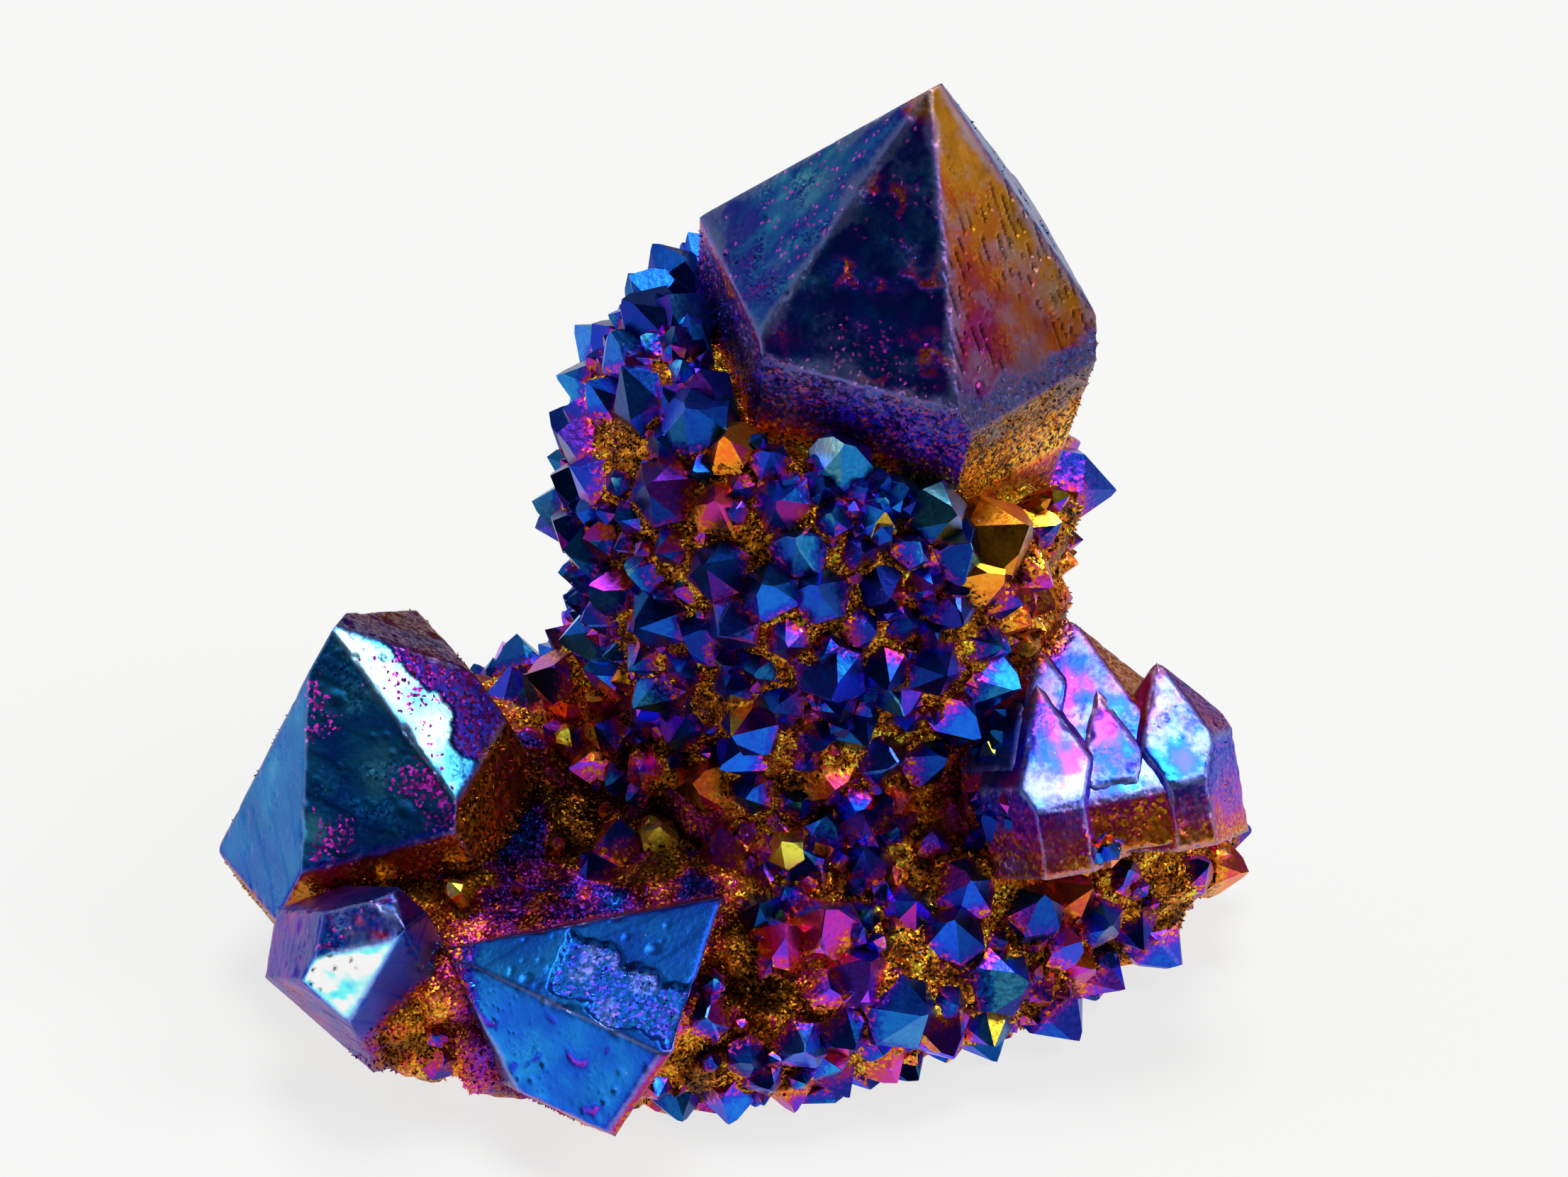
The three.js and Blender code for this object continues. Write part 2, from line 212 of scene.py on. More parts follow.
def grains(points: Array, size: float, seed: int) -> tuple[Array, Array]:
    """Cells around scattered centres, as packed grains have.

    Args:
        points: Places in millimetres.
        size: Mean spacing of the centres in millimetres.
        seed: Picks one of many such fields.

    Returns:
        The distance to the nearest centre in spacings, and a random number for that centre.
    """
    scaled = points / size
    home = np.floor(scaled)
    nearest = np.full(points.shape[:-1], 9.0)
    label = np.zeros(points.shape[:-1])
    for step in itertools.product((-1, 0, 1), repeat=3):
        cell = home + np.array(step)
        centre = cell + np.stack([lattice(cell, seed + axis) for axis in range(3)], axis=-1)
        gap = np.linalg.norm(scaled - centre, axis=-1)
        closer = gap < nearest
        nearest = np.where(closer, gap, nearest)
        label = np.where(closer, lattice(cell, seed + 3), label)
    return nearest, label


# ---- Flat-faced forms -----------------------------------------------------------------------
@lru_cache(maxsize=None)
def triples(count: int) -> Array:
    """Every choice of three among a number of faces."""
    return np.array(list(itertools.combinations(range(count), 3)))


@dataclass
class FlatForm:
    """A closed form bounded by flat faces: its corners, each face's loop and its plane."""

    corners: Array
    loops: list[list[int]]
    planes: list[int]

    def closed(self) -> bool:
        """Whether every edge is used once each way.

        Returns:
            True for a closed form.
        """
        edges = {}
        for loop in self.loops:
            for start, end in zip(loop, loop[1:] + loop[:1]):
                edges[(start, end)] = edges.get((start, end), 0) + 1
        return bool(edges) and all(
            used == 1 and edges.get((end, start)) == 1 for (start, end), used in edges.items()
        )


def meet(normals: Array, distances: Array) -> FlatForm:
    """The form that is left inside a set of planes.

    Args:
        normals: Outward unit normals.
        distances: Each plane's distance from the origin along its normal.

    Returns:
        The form, with its loops counter-clockwise seen from outside.
    """
    first, second, third = triples(len(normals)).T
    across = np.cross(normals[second], normals[third])
    volume = np.einsum("ij,ij->i", normals[first], across)
    point = (
        across * distances[first, None]
        + np.cross(normals[third], normals[first]) * distances[second, None]
        + np.cross(normals[first], normals[second]) * distances[third, None]
    )
    solid = np.abs(volume) > NEARLY_PARALLEL
    point = point[solid] / volume[solid, None]
    point = point[(point @ normals.T <= distances + OUTSIDE).all(axis=1)]
    gaps = np.linalg.norm(point[:, None] - point[None], axis=-1)
    same = np.argmax(gaps < SAME_CORNER, axis=1)
    kept = np.unique(same)
    point = point[kept]
    loops, planes = [], []
    for plane, (normal, distance) in enumerate(zip(normals, distances)):
        on = np.flatnonzero(np.abs(point @ normal - distance) < ON_FACE)
        if len(on) < 3:
            continue
        spokes = point[on] - point[on].mean(axis=0)
        along = unit(spokes[0])
        side = np.cross(normal, along)
        turn = np.arctan2(spokes @ side, spokes @ along)
        loops.append([int(corner) for corner in on[np.argsort(turn)]])
        planes.append(plane)
    return FlatForm(point, loops, planes)


def refine(
    points: Array, triangles: Array, longest: Callable[[Array], Array]
) -> tuple[Array, Array]:
    """Halves long edges again and again, always a triangle's longest edge first.

    Args:
        points: Corners.
        triangles: Three corner numbers each.
        longest: Gives the longest edge allowed at each of an array of places.

    Returns:
        The new points and triangles, still closed if the old ones were.
    """
    while True:
        ends = np.sort(triangles[:, [[0, 1], [1, 2], [2, 0]]].reshape(-1, 2), axis=1)
        key, which = np.unique(ends[:, 0] * len(points) + ends[:, 1], return_inverse=True)
        which = which.reshape(-1, 3)
        low, high = key // len(points), key % len(points)
        middle = (points[low] + points[high]) / 2
        length = np.linalg.norm(points[low] - points[high], axis=1)
        split = length > longest(middle)
        if not split.any():
            return points, triangles
        rows = np.arange(len(triangles))
        main = np.argmax(length[which], axis=1)
        while True:
            wanted = split[which].any(axis=1) & ~split[which[rows, main]]
            if not wanted.any():
                break
            split[which[rows, main][wanted]] = True
        fresh = np.full(len(key), -1)
        fresh[split] = len(points) + np.arange(split.sum())
        turned = (main[:, None] + np.arange(3)) % 3
        a, b, c = triangles[rows[:, None], turned].T
        ab, bc, ca = fresh[which[rows[:, None], turned]].T
        points = np.vstack([points, middle[split]])
        whole = ab < 0
        new = [np.stack([a, b, c], axis=1)[whole]]
        for near, far, cut in ((b, c, bc), (c, a, ca)):
            halved = ~whole & (cut >= 0)
            new.append(np.stack([ab, near, far], axis=1)[~whole & (cut < 0)])
            new.append(np.stack([ab, near, cut], axis=1)[halved])
            new.append(np.stack([ab, cut, far], axis=1)[halved])
        triangles = np.vstack(new)


# ---- Meshes ---------------------------------------------------------------------------------
class Domain(Enum):
    """What an attribute's numbers belong to."""

    POINT = "POINT"
    FACE = "FACE"


def make_object(name: str, points: Array, loops: Sequence[Sequence[int]], smooth: bool) -> Piece:
    """Makes a mesh object at the origin from points in millimetres.

    Args:
        name: Name of the object and its mesh.
        points: Places in millimetres.
        loops: Corner numbers of each face.
        smooth: Whether light flows over the edges.

    Returns:
        The object, linked to the scene.
    """
    mesh = bpy.data.meshes.new(name)
    mesh.from_pydata((np.asarray(points) * MM).tolist(), [], [list(loop) for loop in loops])
    mesh.polygons.foreach_set("use_smooth", [smooth] * len(mesh.polygons))
    mesh.update()
    return put_in_scene(name, mesh)


def put_in_scene(name: str, data: Any) -> Piece:
    """Links a new object with its data to the scene.

    Args:
        name: Name of the object.
        data: Its mesh, curve or light.

    Returns:
        The object.
    """
    made = bpy.data.objects.new(name, data)
    bpy.context.scene.collection.objects.link(made)
    return made


def set_numbers(piece: Piece, numbers: dict[str, Sequence[float]], domain: Domain) -> None:
    """Stores one number for each point or face under each of several names.

    Args:
        piece: The mesh object.
        numbers: The numbers in mesh order, by attribute name.
        domain: What they belong to.
    """
    for name, values in numbers.items():
        attribute = piece.data.attributes.new(name, "FLOAT", domain.value)
        attribute.data.foreach_set("value", np.asarray(values, np.float32))


def hand_over(piece: Piece, material: Finish) -> None:
    """Gives a finished piece its finish, its body and its place in the record.

    Args:
        piece: The mesh object.
        material: Its finish.
    """
    if not piece.data.materials:
        piece.data.materials.append(material)
    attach(piece, BODY)
    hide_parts(NODE)
    faces = len(piece.data.polygons)
    corners = len(piece.data.loops)
    LOG.info("%s: %d faces, %d triangles", piece.name, faces, corners - 2 * faces)


# ---- Finishes -------------------------------------------------------------------------------
def linear(code: str) -> tuple[float, float, float, float]:
    """An sRGB hex colour as linear red, green, blue and 1.

    Args:
        code: The colour, such as #8690bc.

    Returns:
        Four numbers from 0 to 1.
    """
    red, green, blue = (
        value / 12.92 if value <= 0.04045 else ((value + 0.055) / 1.055) ** 2.4
        for value in (int(code[place : place + 2], 16) / 255 for place in (1, 3, 5))
    )
    return red, green, blue, 1.0


def per_metre(size_mm: float) -> float:
    """The scale at which a texture's lumps have a size."""
    return 1 / (size_mm * MM)


def add_node(tree: Any, kind: str, settings: dict[str, Any], links: dict[Any, Any]) -> Any:
    """Adds a node with its settings and its inputs.

    Args:
        tree: The node tree.
        kind: Node type.
        settings: Properties of the node.
        links: For each input, by name or number, a value or the socket that feeds it.

    Returns:
        The node.
    """
    node = tree.nodes.new(kind)
    for name, value in settings.items():
        setattr(node, name, value)
    for name, value in links.items():
        if isinstance(value, bpy.types.NodeSocket):
            tree.links.new(value, node.inputs[name])
        else:
            node.inputs[name].default_value = value
    return node


# Node types and settings that the tables of nodes use again and again.
MATH = "ShaderNodeMath"
VECTOR_MATH = "ShaderNodeVectorMath"
MAP_RANGE = "ShaderNodeMapRange"
MIX = "ShaderNodeMix"
NOISE = "ShaderNodeTexNoise"
CELLS = "ShaderNodeTexVoronoi"
STORED = "GeometryNodeInputNamedAttribute"
CHANCE = "FunctionNodeRandomValue"
ADD = {"operation": "ADD"}
MULTIPLY = {"operation": "MULTIPLY"}
MULTIPLY_ADD = {"operation": "MULTIPLY_ADD"}
SUBTRACT = {"operation": "SUBTRACT"}
SCALE = {"operation": "SCALE"}
POWER = {"operation": "POWER"}
LESS_THAN = {"operation": "LESS_THAN"}
SMOOTH = {"interpolation_type": "SMOOTHSTEP"}
FLOATS = {"data_type": "FLOAT"}
COLOURS = {"data_type": "RGBA"}

NodeRow = tuple[str, str, dict[str, Any], dict[Any, Any]]


def grow(tree: Any, rows: Sequence[NodeRow]) -> dict[str, Any]:
    """Adds a table of nodes, one after the other.

    Args:
        tree: The node tree.
        rows: For each node its name, its type, its settings and its inputs. An input given as
            "name.Output" is fed by that output of the last node of that name so far.

    Returns:
        The last node of each name.
    """
    made = {}
    for name, kind, settings, links in rows:
        fed = dict(links)
        for key, value in links.items():
            if isinstance(value, str) and "." in value:
                source, output = value.split(".")
                fed[key] = made[source].outputs[output]
        made[name] = add_node(tree, kind, settings, fed)
    return made


# Colours of a titanium film from its thinnest to its thickest: place on the scale and colour.
FILM_COLOURS = (
    (0.00, "#0e0805"),
    (0.08, "#341a0a"),
    (0.16, "#864a10"),
    (0.23, "#d08c26"),
    (0.30, "#c85c18"),
    (0.36, "#a83048"),
    (0.43, "#a82898"),
    (0.50, "#6a2ab8"),
    (0.57, "#3430b0"),
    (0.65, "#1436a8"),
    (0.73, "#1456b4"),
    (0.81, "#1c78bc"),
    (0.90, "#50b0d8"),
    (1.00, "#c4e6f0"),
)
FLECK_FILM = 0.44  # the flecks' magenta, as a place on the scale

# The numbers that every piece may carry; one that a piece lacks reads 0.
NUMBERS = ("film", "rise", "grit", "wear", "tone", "fleck")


@dataclass(frozen=True)
class TitaniumFilm:
    """Titanium vapour-deposited on quartz: opaque metal whose oxide film gives the colour.

    The film is thinnest low down between the grains, so every crystal climbs from gold through
    magenta and violet to blue. Worn edges are frosty, gritty parts sparkle grain by grain.
    """

    name: str
    foot: float = 0.8  # mm over which the film climbs from its foot colour to the face's own
    foot_film: float = 0.15
    mottle: float = 0.07  # how far its thickness wanders, on the scale of colours
    mottle_mm: float = 1.6
    fine_mm: float = 0.35
    speck: float = 0.3  # how much thinner it is on single grains
    speck_mm: float = 0.2  # coarser than real sugar grains, which would be too fine to show
    glint: float = 0.5  # how far single grains lean out of the surface
    roughness: float = 0.2
    grain_roughness: float = 0.36
    bump_mm: float = 0.03
    dust_mm: float = 0.6  # spacing of the pale dots of dust
    frost: str = "#8690bc"

    def table(self) -> list[NodeRow]:
        """The table of its nodes, which ends with the output.

        Returns:
            The rows, for grow.
        """
        foot, mottle, speck, frost = self.foot, self.mottle, self.speck, linear(self.frost)
        rows = [("at", "ShaderNodeTexCoord", {}, {})]
        rows += [(name, "ShaderNodeAttribute", {"attribute_name": name}, {}) for name in NUMBERS]
        rows += [
            (name, NOISE, {}, {"Vector": "at.Object", "Scale": per_metre(size), "Detail": detail})
            for name, size, detail in (("broad", self.mottle_mm, 3.0), ("fine", self.fine_mm, 4.0))
        ]
        for name, size, own in (("cell", self.speck_mm, "pick"), ("dust", self.dust_mm, "reach")):
            rows += [
                (name, CELLS, {}, {"Vector": "at.Object", "Scale": per_metre(size)}),
                (own, "ShaderNodeSeparateColor", {}, {"Color": name + ".Color"}),
            ]
        climb = {"From Min": 0.3 * foot, "From Max": 2.0 * foot}
        dots = {"From Min": 0.6, "From Max": 1.0, "To Min": 0.0, "To Max": 0.13}
        frosting = {"From Min": 0.75, "From Max": 1.55, "To Max": 0.55}
        tint = {**COLOURS, "blend_type": "MULTIPLY"}
        relief = {"Height": "fine.Fac", "Distance": self.bump_mm * MM, "Strength": 0.6}
        metal = {"Base Color": "colour.Result", "Roughness": "rough.Value", "Metallic": 1.0}
        rougher = self.grain_roughness - self.roughness
        rows += [
            # The film climbs with height over the crust, along a grainy front.
            ("height", MATH, MULTIPLY_ADD, {0: "fine.Fac", 1: foot, 2: "rise.Fac"}),
            ("halo", MAP_RANGE, {}, {"Value": "height.Value", **climb}),
            ("halo", MATH, POWER, {0: "halo.Result", 1: 0.8}),
            ("low", MATH, SUBTRACT, {0: 1.0, 1: "halo.Value"}),
            ("grit", MATH, {**ADD, "use_clamp": True}, {0: "low.Value", 1: "grit.Fac"}),
            ("film", MATH, MULTIPLY_ADD, {0: "broad.Fac", 1: 2 * mottle, 2: "film.Fac"}),
            ("film", MATH, MULTIPLY_ADD, {0: "fine.Fac", 1: mottle, 2: "film.Value"}),
            ("film", MATH, SUBTRACT, {0: "film.Value", 1: 1.5 * mottle}),
            ("film", MIX, FLOATS, {"Factor": "halo.Value", "A": self.foot_film, "B": "film.Value"}),
            # Single grains carry a thinner film than those around them.
            ("stray", MATH, POWER, {0: "pick.Red", 1: 2.5}),
            ("stray", MATH, MULTIPLY_ADD, {0: "stray.Value", 1: -2 * speck, 2: 0.3 * speck}),
            ("film", MATH, MULTIPLY_ADD, {0: "stray.Value", 1: "grit.Value", 2: "film.Result"}),
            ("fleck", MATH, LESS_THAN, {0: "pick.Green", 1: "fleck.Fac"}),
            ("film", MIX, FLOATS, {"Factor": "fleck.Value", "A": "film.Value", "B": FLECK_FILM}),
            ("ramp", "ShaderNodeValToRGB", {}, {"Fac": "film.Result"}),
            # Pale dust in scattered dots, and frost where an edge is worn.
            ("reach", MAP_RANGE, {}, {"Value": "reach.Green", **dots}),
            ("dusty", MATH, LESS_THAN, {0: "dust.Distance", 1: "reach.Result"}),
            ("worn", MATH, MULTIPLY_ADD, {0: "fine.Fac", 1: 0.9, 2: "wear.Fac"}),
            ("worn", MATH, ADD, {0: "worn.Value", 1: "dusty.Value"}),
            ("worn", MAP_RANGE, SMOOTH, {"Value": "worn.Value", **frosting}),
            ("colour", MIX, COLOURS, {"Factor": "worn.Result", "A": "ramp.Color", "B": frost}),
            # The stored tone scales the colour: it differs at random from face to face and grain to
            # grain, and in places it carries painted light and painted shade.
            ("tone", MATH, ADD, {0: "fleck.Value", 1: "tone.Fac"}),
            ("colour", MIX, tint, {"Factor": 1.0, "A": "colour.Result", "B": "tone.Value"}),
            ("rough", MATH, MULTIPLY_ADD, {0: "grit.Value", 1: rougher, 2: self.roughness}),
            ("rough", MATH, MULTIPLY_ADD, {0: "worn.Result", 1: 0.15, 2: "rough.Value"}),
            ("rough", MATH, MULTIPLY_ADD, {0: "broad.Fac", 1: 0.12, 2: "rough.Value"}),
            # Each grain leans its own way, so gritty parts sparkle.
            ("lean", VECTOR_MATH, SUBTRACT, {0: "cell.Color", 1: (0.5, 0.5, 0.5)}),
            ("glint", MATH, {"operation": "MAXIMUM"}, {0: "grit.Value", 1: "fleck.Value"}),
            ("glint", MATH, MULTIPLY, {0: "glint.Value", 1: self.glint}),
            ("lean", VECTOR_MATH, SCALE, {0: "lean.Vector", "Scale": "glint.Value"}),
            ("bump", "ShaderNodeBump", {}, relief),
            ("normal", VECTOR_MATH, ADD, {0: "bump.Normal", 1: "lean.Vector"}),
            ("normal", VECTOR_MATH, {"operation": "NORMALIZE"}, {0: "normal.Vector"}),
            ("metal", "ShaderNodeBsdfPrincipled", {}, {**metal, "Normal": "normal.Vector"}),
            ("output", "ShaderNodeOutputMaterial", {}, {"Surface": "metal.BSDF"}),
        ]
        return rows

    def build(self) -> Finish:
        """Builds the shader.

        Returns:
            The material.
        """
        material = bpy.data.materials.new(self.name)
        material.use_nodes = True
        material.node_tree.nodes.clear()
        stops = grow(material.node_tree, self.table())["ramp"].color_ramp.elements
        for share, _ in FILM_COLOURS[len(stops) :]:
            stops.new(share)
        for stop, (share, code) in zip(stops, FILM_COLOURS):
            stop.position = share
            stop.color = linear(code)
        return material


# ---- Surfaces under the crust ---------------------------------------------------------------
def swell(point: Array) -> Array:
    """Shallow swells that keep the stem and the base from being turned shapes.

    Args:
        point: Places, three numbers in the last axis.

    Returns:
        How far each place is pushed out, in millimetres.
    """
    x, y, z = point[..., 0], point[..., 1], point[..., 2]
    broad = 0.45 * np.sin(0.45 * x + 1.3) * np.sin(0.5 * y + 0.7)
    return broad + 0.3 * np.sin(0.7 * z + 0.4 * x)


def along(profile: Sequence[tuple[float, float]], share: Array) -> tuple[Array, Array]:
    """Both numbers of a profile at a share of its length, counted in rows.

    Args:
        profile: Pairs of numbers, one pair for each row.
        share: 0 at the first row to 1 at the last.

    Returns:
        The first numbers and the second ones.
    """
    row = np.clip(share, 0, 1) * (len(profile) - 1)
    steps = np.arange(len(profile))
    table = np.array(profile)
    return np.interp(row, steps, table[:, 0]), np.interp(row, steps, table[:, 1])


@dataclass(frozen=True)
class Site:
    """One place of the crust: the surface under a crystal and the crystal's own sizes."""

    point: Array
    axis: Array
    apothem: float
    prism: float
    spin: float
    tip: Array


@dataclass
class Crust:
    """A staggered net of crystal places over a surface: rows up it and columns around it."""

    seed: int
    middle: tuple[float, ...]
    profile: Sequence[tuple[float, float]]
    columns: int
    rows: int
    outgrown: dict[tuple[int, int], tuple[float, float]]
    stray: float = 0.42
    lifted_by: float = 0.22
    lean_by: float = 0.45
    smallest: float = 1.0
    largest: float = 1.75
    shortest: float = -0.15
    tallest: float = 0.6
    twist: float = 24.0

    def at(self, azimuth: Array, share: Array) -> Array:
        """The surface point at an azimuth and a share of the profile."""
        raise NotImplementedError

    def outward(self, azimuth: Array, share: Array) -> Array:
        """Which way the surface faces there.

        Args:
            azimuth: Degrees round the axis.
            share: Share of the profile.

        Returns:
            Unit vectors.
        """
        around = self.at(azimuth + 2, share) - self.at(azimuth - 2, share)
        upward = self.at(azimuth, share + 0.03) - self.at(azimuth, share - 0.03)
        return unit(np.cross(around, upward))

    def site(self, row: int, column: int, draws: Draws) -> Site:
        """One place of the net.

        Args:
            row: Row, from the lowest.
            column: Column, counted around.
            draws: The run of random numbers.

        Returns:
            The site.
        """
        across = column + (row % 2) / 2 + self.stray * (draws.next() - 0.5)
        azimuth = (360 / self.columns) * across
        share = (row + self.stray * (draws.next() - 0.5)) / (self.rows - 1)
        point = self.at(np.array(azimuth), np.array(share))
        axis = self.outward(np.array(azimuth), np.array(share)) + UP * self.lifted_by
        axis = unit(axis + np.array([self.lean_by * (draws.next() - 0.5) for _ in range(3)]))
        size = (
            draws.between(self.smallest, self.largest),
            draws.between(self.shortest, self.tallest),
        )
        spin = self.twist * (draws.next() - 0.5)
        apothem, prism = self.outgrown.get((row, column), size)
        tip = point + axis * apothem * (prism + PYRAMID_RISE)
        return Site(point, axis, apothem, prism, spin, tip)

    def sites(self) -> list[list[Site]]:
        """Every place of the net, row by row.

        Returns:
            The sites, row by row.
        """
        draws = Draws(self.seed)
        return [
            [self.site(row, column, draws) for column in range(self.columns)]
            for row in range(self.rows)
        ]


@dataclass
class StemCrust(Crust):
    """The crust of the stem that carries the capping crystal."""

    lean: float = 6.0
    toward: float = -23.0
    climb_toward: float = 150.0
    climb: float = 0.018

    def at(self, azimuth: Array, share: Array) -> Array:
        """The surface point at an azimuth and a share of the profile.

        Args:
            azimuth: Degrees round the axis.
            share: Share of the profile.

        Returns:
            Places, three numbers in the last axis.
        """
        radius, level = along(self.profile, share)
        outward = direction(90, azimuth)
        side = np.cos(np.radians(azimuth - self.climb_toward))
        point = outward * radius[..., None]
        point[..., 2] = level + self.climb * np.maximum(level, 0) * radius * side
        point = point @ upright_to(direction(self.lean, self.toward)).T + np.array(self.middle)
        return point + outward * swell(point)[..., None]


@dataclass
class BaseCrust(Crust):
    """The crust of the low base."""

    rim: Sequence[float] = ()
    dip_toward: float = 235.0
    dip: float = 0.2
    lift_from: float = 12.0
    lift_to: float = 27.0
    lift: float = 1.0

    def rim_radius(self, azimuth: Array) -> Array:
        """Radius of the rim, eased between the values that are given every 30 degrees.

        Args:
            azimuth: Degrees round the axis.

        Returns:
            The radius at each azimuth, in millimetres.
        """
        turn = np.mod(azimuth, 360) / (360 / len(self.rim))
        low = np.floor(turn).astype(int) % len(self.rim)
        share = (1 - np.cos(np.pi * (turn - low))) / 2
        radii = np.array(self.rim)
        return radii[low] * (1 - share) + radii[(low + 1) % len(self.rim)] * share

    def at(self, azimuth: Array, share: Array) -> Array:
        """The surface point at an azimuth and a share of the profile.

        Args:
            azimuth: Degrees round the axis.
            share: Share of the profile.

        Returns:
            Places, three numbers in the last axis.
        """
        across, height = along(self.profile, share)
        outward = direction(90, azimuth)
        dip = self.dip * np.maximum(0, np.cos(np.radians(azimuth - self.dip_toward))) ** 2
        point = outward * (self.rim_radius(azimuth) * across)[..., None]
        point[..., 0] += self.middle[0]
        point[..., 1] += self.middle[1]
        point[..., 2] = height * (1 - dip)
        point[..., 2] += self.lift * smoothstep(self.lift_from, self.lift_to, point[..., 0])
        return point + outward * (swell(point) * across)[..., None]


STEM = StemCrust(
    seed=11,
    middle=(3, 2.8, 30),
    profile=(
        (15.5, -20), (13.8, -16), (12.6, -12), (13.4, -8), (14.2, -4),
        (14.3, 0), (13.2, 3.5), (11.8, 6.2), (10.2, 8), (8, 9),
    ),
    columns=28,
    rows=14,
    outgrown={
        (11, 17): (1.9, 0.35), (9, 17): (1.8, 0.3), (9, 18): (1.6, 0.3), (9, 24): (1.95, 0.45),
        (8, 27): (1.9, 0.5), (8, 20): (1.5, 0.5), (6, 18): (1.8, 0.4),
    },
)
BASE = BaseCrust(
    seed=7,
    middle=(-2, -2),
    profile=(
        (0.74, -2.5), (0.86, 0.4), (0.97, 3), (1, 6), (0.94, 9),
        (0.8, 11.4), (0.62, 12.8), (0.46, 13.8), (0.3, 14.2),
    ),
    columns=36,
    rows=11,
    outgrown={(4, 30): (1.9, 0.3), (4, 32): (1.8, 0.4), (5, 31): (1.7, 0.4), (10, 27): (1.6, 0.5)},
    rim=(29, 25, 22, 19.5, 18.5, 21.7, 27, 26, 21.5, 19, 18.2, 21.8),
)


# ---- Large crystals -------------------------------------------------------------------------
BLEND = 0.1  # mm over which the look of one face goes over into the next
FAINT = 0.004  # a face that has a smaller share in a place leaves it alone
EDGE_ANGLE = 46  # degrees, about half the angle between two faces
HALF_WIDTH = 8  # mm from the middle of a large face to its side
SUGAR_MM = 0.42  # sugar grains of a band; real ones are finer and wouldn't show
ALONG_STRIAE = np.array([0.12, 0.12, 1.0])  # squeezes noise into level lines


class Pattern(IntEnum):
    """What a pattern is for: added to its owner's seed, so that no two look alike."""

    LEDGES = 0
    PITS = 1
    STRIAE = 2
    ROUGH = 3
    MOTTLE = 4
    RECESS = 6
    ROWS = 8
    FLECKS = 9
    STREAKS = 10
    LEDGE_PATCHES = 11
    FIGURE = 12
    FIGURE_PATCHES = 13
    RECESS_FROST = 14
    TONE = 15
    FROST = 16
    BAND = 40
    SUGAR = 60
    ROUNDING = 70
    BAND_FROST = 75
    SKIN_GRAINS = 77
    NICKS = 80
    WORN_EDGES = 90
    SKIN_PURPLE = 91
    SKIN_STAIN = 93


@dataclass(frozen=True)
class Recess:
    """A rough, sparkling part of a face that stopped growing earlier and lies a little deeper.

    beyond and within hold pairs of a face's number and a distance from it: the part lies farther
    than each distance in beyond and nearer than each in within.
    """

    depth: float
    film: float
    beyond: tuple[tuple[int, float], ...] = ()
    within: tuple[tuple[int, float], ...] = ()
    below: float = 0.0  # mm under the tip where it starts
    grit: float = 0.9
    ragged: float = 0.6  # how far its outline strays, in mm
    frost: float = 0.0
    tone: float = 1.0

    def share(self, local: Array, gaps: Array, seed: int) -> Array:
        """How much of the recess lies at each place, 0 to 1.

        Args:
            local: Places in the crystal's own frame.
            gaps: Distance of each place from each face, negative inside.
            seed: Seed of its ragged outline.

        Returns:
            One value for each place.
        """
        stray = self.ragged * noise(local, 1.6, seed, 3)
        inside = [-local[:, 2] - self.below]
        inside += [-gaps[:, face] - distance for face, distance in self.beyond]
        inside += [distance + gaps[:, face] for face, distance in self.within]
        return np.prod([smoothstep(-0.12, 0.12, depth + stray) for depth in inside], axis=0)


@dataclass(frozen=True)
class FaceLook:
    """How one large face grew and how thick its film is.

    film_tip and film_root are places on the film's colour scale, and tone is its brightness.
    Ledges, pits and striae are depths in millimetres, and each has its spacing.
    """

    film_tip: float = 0.68
    film_root: float = 0.6
    tone: float = 1.0
    ledge: float = 0.05
    ledge_every: float = 2.4
    pit: float = 0.1
    pit_every: float = 1.8
    striae: float = 0.0
    striae_every: float = 0.5
    grit: float = 0.0  # how sugary it is, 0 to 1
    speckle: float = 0.25  # how much more sugary it is in patches
    mottle: float = 0.05  # how far the film's thickness wanders
    mottle_mm: float = 2.2
    across: float = 0.0  # how much the film changes from one side of the face to the other
    recess: Recess | None = None
    fleck: float = 0.0  # share of the face strewn with magenta flecks
    etched: float = 0.0  # depth of broken rows of pits that run down the face
    streak: float = 0.0  # how much the film changes from one fine streak down the face to the next
    figure: float = 0.0  # how much the film thins along winding growth lines
    shade: float = 0.0  # how much darker the face is at its root than at its tip
    frost: float = 0.0  # how frosted the whole face is, in patches


